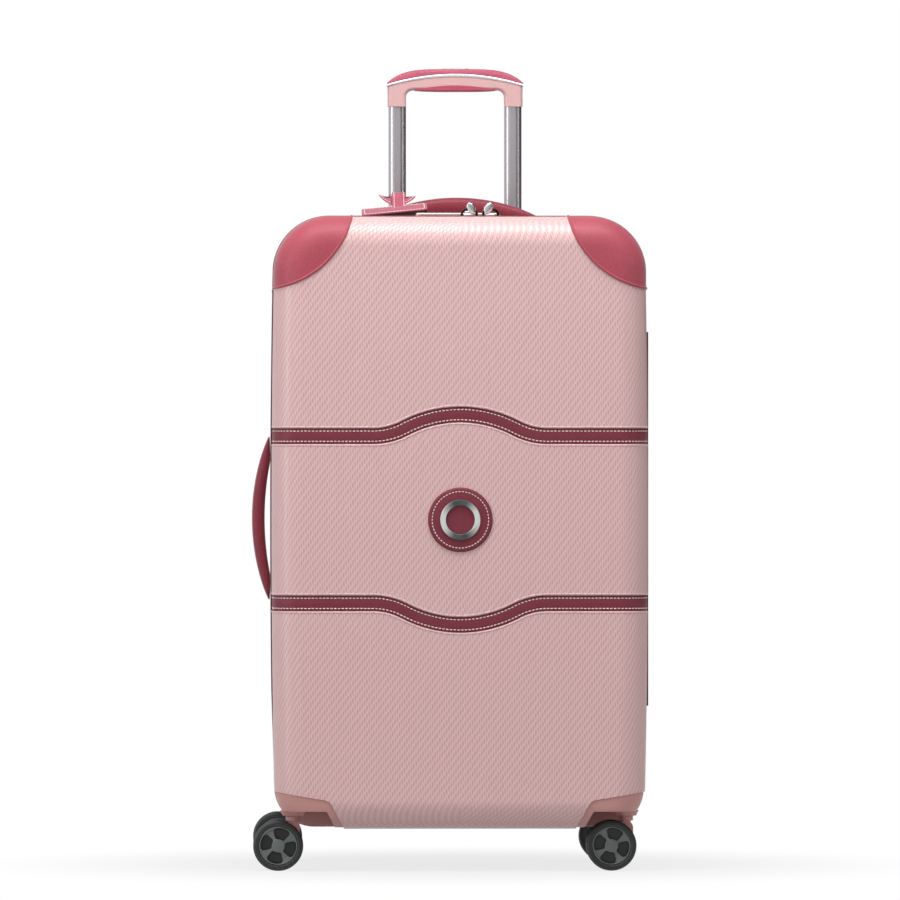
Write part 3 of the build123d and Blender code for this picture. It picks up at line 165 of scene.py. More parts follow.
@dataclass(frozen=True)
class ShellPlastic(Finish):
    """Moulded polycarbonate: satin, with staggered upright slits pressed in by the mould, their hollows
    painted darker as shade.
    """

    # 138 columns over the case's depth and 50 rows of stagger let the two sides meet on a face.
    cell_wide: float = 360 * MM / 138
    cell_high: float = 9.6 * MM
    stagger: float = -50 / 138
    wander: float = 0.55
    depth: float = 0.26 * MM
    seam_y: float = -70 * MM

    def dress(self, tree: NodeTree, shader: Node, coords: Node) -> None:
        """Wraps the slits round the sides and lays them front to back on the top.

        Args:
            tree: The material's node tree.
            shader: Its Principled shader.
            coords: Its texture coordinate node.
        """
        place = add_node(tree, "SeparateXYZ", EMPTY, {0: coords.outputs["Object"]})
        facing = add_node(tree, "SeparateXYZ", EMPTY, {0: coords.outputs["Normal"]})
        hand = add_node(tree, "Math", {"operation": "SIGN"}, {0: place.outputs[0]})
        before = add_node(tree, "Math", {"operation": "LESS_THAN", 1: self.seam_y}, {0: place.outputs[1]})
        face = add_node(tree, "Math", {"operation": "MULTIPLY_ADD", 1: 2.0, 2: -1.0}, {0: before})
        turned = add_node(tree, "Math", {"operation": "MULTIPLY"}, {0: face, 1: place.outputs[0]})
        around = add_node(
            tree, "Math", {"operation": "MULTIPLY_ADD"}, {0: hand, 1: place.outputs[1], 2: turned}
        )
        upward = add_node(tree, "Math", {"operation": "ABSOLUTE"}, {0: facing.outputs[2]})
        level = add_node(tree, "Math", {"operation": "GREATER_THAN", 1: 0.8}, {0: upward})
        across = add_node(tree, "Mix", EMPTY, {0: level, 2: around, 3: place.outputs[0]})
        along = add_node(tree, "Mix", EMPTY, {0: level, 2: place.outputs[2], 3: place.outputs[1]})
        drift = add_node(
            tree, "TexNoise", {"Scale": 0.12 / self.cell_wide}, {"Vector": coords.outputs["Object"]}
        )
        wide = add_node(tree, "Math", {"operation": "DIVIDE", 1: self.cell_wide}, {0: across})
        column = add_node(tree, "Math", {"operation": "MULTIPLY_ADD", 1: self.wander}, {0: drift, 2: wide})
        number = add_node(tree, "Math", {"operation": "FLOOR"}, {0: column})
        length = add_node(tree, "Math", {"operation": "DIVIDE", 1: self.cell_high}, {0: along})
        stagger = add_node(
            tree, "Math", {"operation": "MULTIPLY_ADD", 1: self.stagger}, {0: number, 2: length}
        )
        waves = []
        for source in (column, stagger):
            share = add_node(tree, "Math", {"operation": "FRACT"}, {0: source})
            turn = add_node(tree, "Math", {"operation": "MULTIPLY", 1: math.pi}, {0: share})
            waves.append(add_node(tree, "Math", {"operation": "SINE"}, {0: turn}))
        lattice = add_node(tree, "Math", {"operation": "MULTIPLY"}, {0: waves[0], 1: waves[1]})
        # The slits take the darker second colour: painted shade in their hollows, on top of their real bump.
        slits = add_node(
            tree,
            "MapRange",
            {"interpolation_type": "SMOOTHSTEP", 1: 0.15, 2: 0.95},
            {0: lattice},
        )
        self.blend(tree, shader, slits, self.depth)
        shader.inputs["IOR"].default_value = 1.58
        shader.inputs["Coat Weight"].default_value = 0.12
        shader.inputs["Coat Roughness"].default_value = 0.3


@dataclass(frozen=True)
class MouldedPlastic(Finish):
    """Injection-moulded nylon or ABS: an even fine grit from the tool, slightly blotchy gloss."""

    grit: float = 0.9 * MM
    depth: float = 0.02 * MM

    def dress(self, tree: NodeTree, shader: Node, coords: Node) -> None:
        """Covers the plastic with fine grit.

        Args:
            tree: The material's node tree.
            shader: Its Principled shader.
            coords: Its texture coordinate node.
        """
        grit = add_node(
            tree,
            "TexNoise",
            {"Scale": 1 / self.grit, "Detail": 3.0, "Roughness": 0.6},
            {"Vector": coords.outputs["Object"]},
        )
        self.blend(tree, shader, grit, self.depth)
        shader.inputs["IOR"].default_value = 1.5


@dataclass(frozen=True)
class GrainedLeather(Finish):
    """Pressed-grain leather: small pebbles with painted shade in the creases between them, a soft waxed
    sheen.
    """

    pebble: float = 0.9 * MM
    depth: float = 0.06 * MM
    sheen: float = 0.25

    def dress(self, tree: NodeTree, shader: Node, coords: Node) -> None:
        """Presses pebbles into the leather, mottles its dye and paints shade into the creases.

        Args:
            tree: The material's node tree.
            shader: Its Principled shader.
            coords: Its texture coordinate node.
        """
        pebbles = add_node(
            tree,
            "TexVoronoi",
            {"feature": "SMOOTH_F1", "Scale": 1 / self.pebble, "Smoothness": 0.4},
            {"Vector": coords.outputs["Object"]},
        )
        dye = add_node(
            tree,
            "TexNoise",
            {"Scale": 0.09 / self.pebble, "Detail": 4.0},
            {"Vector": coords.outputs["Object"]},
        )
        # Painted shade: the leather darkens in the valleys between the pebbles.
        crease_shade = add_node(
            tree,
            "MapRange",
            {"interpolation_type": "SMOOTHSTEP", 1: 0.3, 2: 0.75, 4: 0.75},
            {0: pebbles.outputs["Distance"]},
        )
        dye_and_crease_shade = add_node(tree, "Math", {"operation": "MULTIPLY_ADD", 1: 0.35}, {0: dye, 2: crease_shade})
        self.blend(tree, shader, dye_and_crease_shade, self.depth)
        shader.inputs["Specular IOR Level"].default_value = 0.32
        shader.inputs["Sheen Weight"].default_value = self.sheen
        shader.inputs["Sheen Roughness"].default_value = 0.4


@dataclass(frozen=True)
class WovenCloth(Finish):
    """Plain-woven polyester: threads over and under, drawn coarser than life so that they show."""

    thread: float = 0.9 * MM
    depth: float = 0.1 * MM

    def dress(self, tree: NodeTree, shader: Node, coords: Node) -> None:
        """Crosses two sets of threads on the slant, so that every face shows both.

        Args:
            tree: The material's node tree.
            shader: Its Principled shader.
            coords: Its texture coordinate node.
        """
        threads = []
        for slant in ((0.62, 0.51, 0.60), (-0.58, 0.55, 0.60)):
            way = add_node(
                tree,
                "VectorMath",
                {"operation": "DOT_PRODUCT", 1: slant},
                {0: coords.outputs["Object"]},
            )
            turn = add_node(
                tree,
                "Math",
                {"operation": "MULTIPLY", 1: math.pi / self.thread},
                {0: way.outputs["Value"]},
            )
            threads.append(add_node(tree, "Math", {"operation": "SINE"}, {0: turn}))
        weave = add_node(tree, "Math", {"operation": "MULTIPLY"}, {0: threads[0], 1: threads[1]})
        fuzz = add_node(
            tree,
            "TexNoise",
            {"Scale": 0.4 / self.thread, "Detail": 3.0},
            {"Vector": coords.outputs["Object"]},
        )
        dyed = add_node(tree, "Math", {"operation": "MULTIPLY_ADD", 1: 0.5}, {0: weave, 2: fuzz})
        self.blend(tree, shader, dyed, self.depth)
        shader.inputs["Sheen Weight"].default_value = 0.3


@dataclass(frozen=True)
class DrawnMetal(Finish):
    """Drawn or polished metal: fine streaks along one way that stretch its highlights."""

    streak: tuple[float, float, float] = (0.4 * MM, 0.4 * MM, 60 * MM)
    depth: float = 0.004 * MM

    def streaks(self, tree: NodeTree, shader: Node, coords: Node) -> Node:
        """Makes the shader a metal and draws noise that is stretched along it.

        Args:
            tree: The material's node tree.
            shader: Its Principled shader.
            coords: Its texture coordinate node.

        Returns:
            The streaks.
        """
        shader.inputs["Metallic"].default_value = 1.0
        stretch = add_node(
            tree,
            "Mapping",
            {"Scale": tuple(1 / size for size in self.streak)},
            {"Vector": coords.outputs["Object"]},
        )
        return add_node(tree, "TexNoise", {"Scale": 1.0, "Detail": 2.0}, {"Vector": stretch})

    def dress(self, tree: NodeTree, shader: Node, coords: Node) -> None:
        """Shades the metal by its streaks alone."""
        self.blend(tree, shader, self.streaks(tree, shader, coords), self.depth)


@dataclass(frozen=True)
class TurnedMetal(DrawnMetal):
    """Metal turned on a lathe: fine rings that stretch its highlights, over a painted sheen that is bright at
    the sides and dark above and below.
    """

    middle_z: float = 392 * MM

    def dress(self, tree: NodeTree, shader: Node, coords: Node) -> None:
        """Paints a sheen into the colour about the turning axis, dark above and below and bright at the
        sides, and stretches highlights across the rings.

        Args:
            tree: The material's node tree.
            shader: Its Principled shader.
            coords: Its texture coordinate node.
        """
        streaks = self.streaks(tree, shader, coords)
        offset = add_node(
            tree,
            "VectorMath",
            {"operation": "MULTIPLY_ADD", 1: (1.0, 0.0, 1.0), 2: (0.0, 0.0, -self.middle_z)},
            {0: coords.outputs["Object"]},
        )
        spoke = add_node(tree, "VectorMath", {"operation": "NORMALIZE"}, {0: offset})
        split = add_node(tree, "SeparateXYZ", EMPTY, {0: spoke})
        level = add_node(tree, "Math", {"operation": "ABSOLUTE"}, {0: split.outputs[0]})
        # Painted sheen: the dark second colour above and below the axis, the bright one at the sides.
        painted_sheen_fan = add_node(
            tree,
            "MapRange",
            {"interpolation_type": "SMOOTHSTEP", 1: 0.3, 2: 0.98, 3: 0.9, 4: 0.0},
            {0: level},
        )
        painted_sheen_and_streaks = add_node(tree, "Math", {"operation": "MULTIPLY_ADD", 1: 0.15}, {0: streaks, 2: painted_sheen_fan})
        self.blend(tree, shader, painted_sheen_and_streaks, self.depth)
        around = add_node(tree, "Tangent", {"direction_type": "RADIAL", "axis": "Y"})
        tree.links.new(around.outputs[0], shader.inputs["Tangent"])
        shader.inputs["Anisotropic"].default_value = 0.9


@dataclass(frozen=True)
class TwistedThread(Finish):
    """Waxed polyester sewing thread: two plies that twist round each other."""

    ply: float = 0.5 * MM

    def dress(self, tree: NodeTree, shader: Node, coords: Node) -> None:
        """Marks the plies as slanted bands.

        Args:
            tree: The material's node tree.
            shader: Its Principled shader.
            coords: Its texture coordinate node.
        """
        plies = add_node(
            tree,
            "TexWave",
            {"bands_direction": "DIAGONAL", "Scale": 0.3 / self.ply, "Distortion": 1.5},
            {"Vector": coords.outputs["Object"]},
        )
        self.blend(tree, shader, plies.outputs["Fac"], 0.05 * MM)


# The darker second colour is painted shade in the slits.
SHELL = ShellPlastic("moulded_polycarbonate", "#E0BABA", "#CDA2A2", 0.3, 0.42)
HOUSING = MouldedPlastic("satin_nylon_pink", "#D29B97", "#C8908C", 0.36, 0.5)
GRIP = MouldedPlastic("satin_abs_blush", "#D3ADAD", "#CBA3A3", 0.3, 0.42)
BLACK = MouldedPlastic("black_nylon", "#1B1B1D", "#131314", 0.4, 0.55)
TYRE = MouldedPlastic("grey_polyurethane", "#303233", "#262829", 0.5, 0.66)
HUB = MouldedPlastic("dark_satin_nylon", "#6C7271", "#5E6463", 0.34, 0.46)
STRAP = GrainedLeather("strap_calf_leather", "#823341", "#6D2836", 0.42, 0.6, depth=0.05 * MM, sheen=0.05)
GUARD = GrainedLeather("rose_burgundy_leather", "#B4505F", "#A24352", 0.4, 0.56, sheen=0.3)
HANDLE = GrainedLeather("handle_leather", "#8E3544", "#7A2937", 0.4, 0.56)
# A lighter copy of the handle leather for the grip cover, its pad and the tag: painted light for the strong
# overhead lamp.
PAINTED_LIT_LEATHER = GrainedLeather("handle_leather_painted_lighter", "#B5556B", "#A4485D", 0.4, 0.56)
THREAD = TwistedThread("waxed_thread", "#F6F1EC", "#DDD2CB", 0.5, 0.65)
TAPE = WovenCloth("burgundy_zip_tape", "#6B2734", "#511B27", 0.6, 0.8, thread=0.8 * MM)
LINING = WovenCloth("dusty_rose_lining", "#A98A89", "#8E716F", 0.55, 0.75)
TUBE = DrawnMetal(
    "gunmetal_anodised_tube", "#B4B1B4", "#A6A3A7", 0.28, 0.36, (1.5 * MM, 1.5 * MM, 90 * MM), 0.001 * MM
)
CHROME = DrawnMetal("polished_zinc", "#DDDEE0", "#CFD0D3", 0.08, 0.16, (6 * MM, 6 * MM, 6 * MM))
# Its dark second colour is painted shade above and below the ring's middle, not a second metal.
RING = TurnedMetal("turned_nickel", "#CFD3CF", "#535958", 0.28, 0.36, (2 * MM, 9 * MM, 2 * MM), 0.001 * MM)
STEEL = DrawnMetal("plain_steel", "#9A9BA0", "#84858A", 0.25, 0.4, (3 * MM, 3 * MM, 3 * MM))
ROSE_METAL = DrawnMetal("rose_plated_zinc", "#E3BDB4", "#D6AEA5", 0.22, 0.32, (0.5 * MM, 20 * MM, 0.5 * MM))
DARK_METAL = DrawnMetal("black_plated_zinc", "#2B2B2D", "#1E1E20", 0.22, 0.34, (2 * MM, 2 * MM, 2 * MM))


def only(obj: Object) -> Object:
    """Deselects everything, then selects one object and makes it active.

    Args:
        obj: The object to work on.

    Returns:
        The same object.
    """
    bpy.ops.object.select_all(action="DESELECT")
    obj.select_set(True)
    bpy.context.view_layer.objects.active = obj
    return obj


def added(name: str) -> Object:
    """Names the primitive that was just added.

    Args:
        name: The name of the object and its mesh.

    Returns:
        The object.
    """
    obj = bpy.context.active_object
    obj.name = name
    obj.data.name = name
    return obj


def edit(obj: Object, *steps: Callable[[], object]) -> Object:
    """Runs edit-mode steps with the whole mesh selected.

    Args:
        obj: The object to edit.
        steps: Operator calls, in order.

    Returns:
        The same object.
    """
    only(obj)
    bpy.ops.object.mode_set(mode="EDIT")
    bpy.ops.mesh.select_all(action="SELECT")
    for step in steps:
        step()
    bpy.ops.object.mode_set(mode="OBJECT")
    return obj


def modify(obj: Object, kind: str, **settings: object) -> Object:
    """Adds one modifier with its settings and applies it.

    Args:
        obj: The object to change.
        kind: The modifier's type name.
        settings: The modifier's properties.

    Returns:
        The same object.
    """
    only(obj)
    modifier = obj.modifiers.new(kind.lower(), kind)
    for key, value in settings.items():
        setattr(modifier, key, value)
    bpy.ops.object.modifier_apply(modifier=modifier.name)
    return obj


def cut(obj: Object, tool: Object) -> Object:
    """Cuts a tool's shape out of an object and removes the tool.

    Args:
        obj: The object to cut.
        tool: A closed mesh.

    Returns:
        The cut object.
    """
    modify(obj, "BOOLEAN", operation="DIFFERENCE", object=tool, solver="EXACT")
    bpy.data.objects.remove(tool)
    return obj


def block(
    name: str, size: Sequence[float], bevel: float, segments: int, place: Sequence[float] = (0.0, 0.0, 0.0)
) -> Object:
    """Models a block with rounded edges.

    Args:
        name: The object's name.
        size: Its length along each axis.
        bevel: The width of the rounding.
        segments: Steps across the rounding.
        place: Where its middle goes.

    Returns:
        The block.
    """
    bpy.ops.object.select_all(action="DESELECT")
    bpy.ops.mesh.primitive_cube_add(size=1.0, location=place)
    obj = added(name)
    edit(obj, lambda: bpy.ops.transform.resize(value=size))
    return modify(obj, "BEVEL", width=bevel, segments=segments)


def join(name: str, pieces: Sequence[Object]) -> Object:
    """Joins modelled pieces into one object under a name.

    Args:
        name: The name of the result.
        pieces: The objects to join.

    Returns:
        The joined object.
    """
    only(pieces[0])
    for piece in pieces[1:]:
        piece.select_set(True)
    bpy.ops.object.join()
    return added(name)


def shaped_grid(
    name: str,
    columns: int,
    rows: int,
    place: Callable[[int, int], Vector],
    closed: bool = True,
    ring: bool = False,
) -> Object:
    """Adds a grid and moves each point to where a function puts it.

    Args:
        name: The object's name.
        columns: Steps across the grid.
        rows: Steps along the grid.
        place: Gives the place of the point at a column and a row.
        closed: Whether the grid's sides meet, as a tube's do.
        ring: Whether its ends meet too; otherwise a closed grid gets end caps.

    Returns:
        The shaped object.
    """
    bpy.ops.object.select_all(action="DESELECT")
    bpy.ops.mesh.primitive_grid_add(x_subdivisions=columns, y_subdivisions=rows, size=1.0)
    obj = added(name)
    for vertex in obj.data.vertices:
        column = round((vertex.co.x + 0.5) * columns)
        row = round((vertex.co.y + 0.5) * rows)
        vertex.co = place(column, row)
    if closed:
        edit(obj, lambda: bpy.ops.mesh.remove_doubles(threshold=1e-6))
        if not ring:
            edit(obj, lambda: bpy.ops.mesh.fill_holes(sides=0))
        edit(obj, lambda: bpy.ops.mesh.normals_make_consistent(inside=False))
    return obj


def circle(count: int) -> list[tuple[float, float]]:
    """Gives the cosine and the sine of even steps round a circle."""
    return [(math.cos(FULL_TURN * i / count), math.sin(FULL_TURN * i / count)) for i in range(count)]


def loft(name: str, lines: Sequence[Sequence[Vector]], ring: bool = False) -> Object:
    """Skins a closed tube over lines of points that run side by side.

    Args:
        name: The object's name.
        lines: The lines in order round the section, all of one length.
        ring: Whether the lines close on themselves.

    Returns:
        The skinned object.
    """
    count = len(lines)
    length = len(lines[0])
    rows = length if ring else length - 1
    return shaped_grid(name, count, rows, lambda i, j: lines[i % count][j % length], True, ring)


def bead(name: str, path: Path, radius: float, ring: bool = False, sides: int = 8) -> Object:
    """Sweeps a round bead along a path.

    Args:
        name: The object's name.
        path: Points with the surface normal at each.
        radius: The bead's radius.
        ring: Whether the path closes on itself.
        sides: Steps round the bead.

    Returns:
        The bead.
    """
    sweeps = tangents([point for point, _ in path], ring)
    lines = []
    for c, s in circle(sides):
        line = []
        for (point, normal), along in zip(path, sweeps):
            side = along.cross(normal).normalized()
            line.append(point + radius * (c * normal + s * side))
        lines.append(line)
    return loft(name, lines, ring)


def lathe(name: str, profile: Profile, steps: int, middle: Sequence[float] = (0.0, 0.0, 0.0)) -> Object:
    """Turns a closed profile about an axis that runs front to back.

    Args:
        name: The object's name.
        profile: Radius and distance towards the front, in millimetres.
        steps: Steps round the axis.
        middle: The point of the axis where the distances start.

    Returns:
        The turned object.
    """
    x, y, z = middle
    lines = [
        [Vector((x + radius * MM * c, y - away * MM, z + radius * MM * s)) for c, s in circle(steps)]
        for radius, away in profile
    ]
    return loft(name, lines, True)


def tangents(points: Sequence[Vector], ring: bool = False) -> list[Vector]:
    """Gives the direction of travel at each point of a line.

    Args:
        points: The line's points.
        ring: Whether the line closes on itself.

    Returns:
        One unit vector for each point.
    """
    count = len(points)
    ways = []
    for i in range(count):
        before = points[i - 1] if ring or i else points[0]
        after = points[(i + 1) % count] if ring or i + 1 < count else points[-1]
        ways.append((after - before).normalized())
    return ways


def seat(point: Vector, along: Vector, up: Vector) -> Matrix:
    """Gives the matrix that seats a small shape on a surface.

    Args:
        point: Where its origin goes.
        along: Where its X axis points.
        up: The surface normal, which its Z axis follows.

    Returns:
        The matrix.
    """
    x_axis = along.normalized()
    z_axis = (up - up.dot(x_axis) * x_axis).normalized()
    matrix = Matrix((x_axis, z_axis.cross(x_axis), z_axis)).transposed().to_4x4()
    matrix.translation = point
    return matrix


def paced(path: Path, pitch: float, ring: bool = False) -> list[Matrix]:
    """Steps along a path at an even pitch.

    Args:
        path: Points with the surface normal at each.
        pitch: The step wanted; it is eased so that whole steps fit.
        ring: Whether the path closes on itself.

    Returns:
        A seat for each step.
    """
    track = path + path[:1] if ring else path
    runs = [(b[0] - a[0]).length for a, b in zip(track, track[1:])]
    total = sum(runs)
    count = max(1, round(total / pitch))
    seats = []
    index = 0
    passed = 0.0
    for step in range(count):
        target = (step + 0.5) * total / count
        while passed + runs[index] < target and index < len(runs) - 1:
            passed += runs[index]
            index += 1
        share = (target - passed) / runs[index]
        start, end = track[index], track[index + 1]
        seats.append(seat(start[0].lerp(end[0], share), end[0] - start[0], start[1].lerp(end[1], share)))
    return seats


def stamped(name: str, model: Object, seats: Iterable[Matrix]) -> Object:
    """Copies a small modelled shape to many seats as one mesh and removes the model.

    Args:
        name: The object's name.
        model: The shape, modelled at the origin.
        seats: Where each copy goes.

    Returns:
        The object with all copies.
    """
    shape = [vertex.co.copy() for vertex in model.data.vertices]
    sides = [tuple(face.vertices) for face in model.data.polygons]
    points: list[Vector] = []
    faces: list[tuple[int, ...]] = []
    for matrix in seats:
        first = len(points)
        points.extend(matrix @ point for point in shape)
        faces.extend(tuple(first + i for i in side) for side in sides)
    mesh = bpy.data.meshes.new(name)
    mesh.from_pydata(points, [], faces)
    obj = bpy.data.objects.new(name, mesh)
    bpy.context.scene.collection.objects.link(obj)
    bpy.data.objects.remove(model)
    return obj


def stitch(length: float = 3.1 * MM, width: float = 1.2 * MM) -> Object:
    """Models one stitch of thread, plump in the middle and dipping at its ends.

    Args:
        length: Length of the stitch.
        width: Width of the thread.

    Returns:
        The stitch at the origin.
    """
    bpy.ops.object.select_all(action="DESELECT")
    bpy.ops.mesh.primitive_uv_sphere_add(segments=6, ring_count=5, radius=0.5, rotation=(0, math.pi / 2, 0))
    obj = added("stitch")
    bpy.ops.object.transform_apply(location=True, rotation=True, scale=True)
    edit(obj, lambda: bpy.ops.transform.resize(value=(length, width, width)))
    return obj


def place_piece(obj: Object, finish: Finish, body: str, slot: str, *nodes: str) -> None:
    """Gives a finished piece its place in its mesh, its material and its body, and hides the nodes that it
    stands for.

    Args:
        obj: The modelled piece.
        finish: Its finish.
        body: The body that it rides on.
        slot: Its material slot in the record; not used.
        nodes: The nodes that it stands for.
    """
    only(obj)
    bpy.ops.object.transform_apply(location=True, rotation=True, scale=True)
    bpy.ops.object.shade_smooth_by_angle(angle=SMOOTH_ANGLE)
    obj.data.materials.clear()
    obj.data.materials.append(finish.material())
    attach(obj, body)
    if nodes:
        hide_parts(*nodes)
    LOG.info("%s rides on %s", obj.name, body)


class Half(Enum):
    """The two halves of the case."""

    LID = "front"
    REAR = "rear"

    @property
    def outward(self) -> int:
        """Way along Y from the seam to the half's face."""
        return -1 if self is Half.LID else 1

    @property
    def body(self) -> str:
        """Name of the body that the half is."""
        return "lid" if self is Half.LID else "rear_case"


@dataclass(frozen=True)
class CaseForm:
    """The outer form of the moulded case, which everything sewn or set into it follows."""

    half_width: float = 210 * MM
    bow: float = 4 * MM
    top: float = 730 * MM
    bottom: float = 47 * MM
    half_depth: float = 180 * MM
    seam_y: float = -70 * MM
    zip_half: float = 6 * MM
    top_corner: float = 62 * MM
    bottom_corner: float = 45 * MM
    edge: float = 32 * MM
    step: float = 4 * MM

    def half_at(self, z: float) -> float:
        """Half width of the bowed case at a height."""
        return self.half_width - self.bow * ((z - self.middle_z) / (self.top - self.middle_z)) ** 2

    @property
    def middle_z(self) -> float:
        """Height of the case's middle."""
        return (self.top + self.bottom) / 2

    def face_y(self, half: Half) -> float:
        """Place of a half's flat face along Y."""
        return half.outward * self.half_depth

    def rim_y(self, half: Half) -> float:
        """Place of a half's shell rim along Y."""
        return self.seam_y + half.outward * self.zip_half

    def reach(self, half: Half, z: float) -> float:
        """Length from the middle of a half's face round its edge to the rim."""
        wall = abs(self.face_y(half) - self.rim_y(half)) - self.edge
        return self.half_at(z) - self.edge + self.edge * math.pi / 2 + wall

    def around(self, half: Half, run: float, z: float, lift: float) -> tuple[Vector, Vector]:
        """Finds a point on the case by its run round a level section.

        Args:
            half: The half of the case.
            run: Length from the middle of the face, towards +X when positive.
            z: Height.
            lift: Height above the skin.

        Returns:
            The point and the skin's normal there.
        """
        flat = self.half_at(z) - self.edge
        bend = self.edge * math.pi / 2
        side = 1 if run >= 0 else -1
        past = abs(run) - flat
        angle = min(max(past / self.edge, 0.0), math.pi / 2)
        normal = Vector((side * math.sin(angle), half.outward * math.cos(angle), 0.0))
        x = min(abs(run), flat) + self.edge * math.sin(angle)
        sunk = self.edge * (1 - math.cos(angle)) + max(past - bend, 0.0)
        point = Vector((side * x, self.face_y(half) - half.outward * sunk, z))
        return point + lift * normal, normal

    def outline(self, grow: float) -> Path:
        """Walks once round the case as seen from the front.

        Args:
            grow: How far outside the outline to walk.

        Returns:
            Points at Y zero, each with its outward normal.
        """
        upper = self.half_at(self.top - self.top_corner) - self.top_corner
        lower = self.half_at(self.bottom + self.bottom_corner) - self.bottom_corner
        walk: Path = []
        corners = (
            (upper, self.top - self.top_corner, self.top_corner, 90),
            (lower, self.bottom + self.bottom_corner, self.bottom_corner, 0),
            (-lower, self.bottom + self.bottom_corner, self.bottom_corner, -90),
            (-upper, self.top - self.top_corner, self.top_corner, -180),
        )
        for index, (x, z, radius, start) in enumerate(corners):
            steps = math.ceil(radius * math.pi / 2 / self.step)
            for i in range(steps + 1):
                angle = math.radians(start - 90 * i / steps)
                normal = Vector((math.cos(angle), 0.0, math.sin(angle)))
                walk.append((Vector((x, 0.0, z)) + (radius + grow) * normal, normal))
            ahead = corners[(index + 1) % 4]
            last, normal = walk[-1]
            if index % 2:
                goal = Vector((ahead[0], 0.0, last.z))
            else:
                goal = Vector((last.x, 0.0, ahead[1]))
            count = math.ceil((goal - last).length / self.step)
            for i in range(1, count):
                point = last.lerp(goal, i / count)
                if not index % 2:
                    point.x = normal.x * (self.half_at(point.z) + grow)
                walk.append((point, normal))
        return walk


@dataclass
class StrapBands:
    """Leather straps in their grooves, with two rows of stitching and rounded shell lips."""

    case: CaseForm
    middle_z: float = 392 * MM
    offset: float = 93 * MM
    bump: float = 24 * MM
    bump_reach: float = 97 * MM
    crown_reach: float = 62 * MM
    sewn_in: float = 5.7 * MM
    sewn_pitch: float = 4.15 * MM
    lip_out: float = 10.2 * MM
    lip_radius: float = 1.5 * MM
    lip_sunk: float = 0.95 * MM
    sewn_sunk: float = 0.75 * MM
    step: float = 3 * MM
    half_section: Profile = (
        (8.6, -2.5), (8.75, -1.75), (8.2, -1.1), (7.0, -0.78), (6.1, -0.86), (5.3, -0.86), (4.4, -0.66),
        (1.5, -0.5),
    )

    def level(self, half: Half, way: int, run: float) -> float:
        """Height of a strap's middle line at a run round the case.

        Args:
            half: The half of the case; only the lid's straps bow.
            way: +1 for the upper strap, -1 for the lower one.
            run: Length from the middle of the face.

        Returns:
            The height.
        """
        flat = self.middle_z + way * self.offset
        x = abs(run)
        if half is Half.REAR or x >= self.bump_reach:
            return flat
        turn = 2 * math.atan(self.bump / self.bump_reach)
        if x < self.crown_reach:
            radius = self.crown_reach / math.sin(turn)
            rise = self.bump - radius + math.sqrt(radius**2 - x**2)
        else:
            radius = (self.bump_reach - self.crown_reach) / math.sin(turn)
            rise = radius - math.sqrt(radius**2 - (self.bump_reach - x) ** 2)
        return flat + way * rise

    def line(self, half: Half, way: int, across: float, lift: float) -> Path:
        """Follows a strap from rim to rim, off its middle line.

        Args:
            half: The half of the case.
            way: +1 for the upper strap, -1 for the lower one.
            across: Distance above the middle line, square to it.
            lift: Height above the skin.

        Returns:
            Points with the skin's normal at each.
        """
        end = self.case.reach(half, self.level(half, way, self.case.half_width))
        count = math.ceil(2 * end / self.step)
        path: Path = []
        for i in range(count + 1):
            run = -end + 2 * end * i / count
            rise = self.level(half, way, run + MM) - self.level(half, way, run - MM)
            slope = math.atan2(rise, 2 * MM)
            z = self.level(half, way, run) + across * math.cos(slope)
            path.append(self.case.around(half, run - across * math.sin(slope), z, lift))
        return path

    def build(self) -> None:
        """Builds the straps, their stitching and the lips of their grooves."""
        section = list(self.half_section) + [(-across, lift) for across, lift in reversed(self.half_section)]
        for half in Half:
            straps, sewn, lips = [], [], []
            for way in (1, -1):
                lines = [
                    [point for point, _ in self.line(half, way, across * MM, lift * MM)]
                    for across, lift in section
                ]
                straps.append(loft("strap", lines))
                for side in (1, -1):
                    sewn += paced(self.line(half, way, side * self.sewn_in, -self.sewn_sunk), self.sewn_pitch)
                    edge = self.line(half, way, side * self.lip_out, -self.lip_sunk)
                    lips.append(bead("lip", edge, self.lip_radius))
            name = half.value
            leather = join(f"{name}_strap_leather", straps)
            place_piece(leather, STRAP, half.body, "burgundy_leather", f"{name}_straps")
            thread = stamped(f"{name}_strap_stitching", stitch(), sewn)
            place_piece(thread, THREAD, half.body, "burgundy_leather")
            place_piece(join(f"{name}_groove_lips", lips), SHELL, half.body, "shell_plastic")


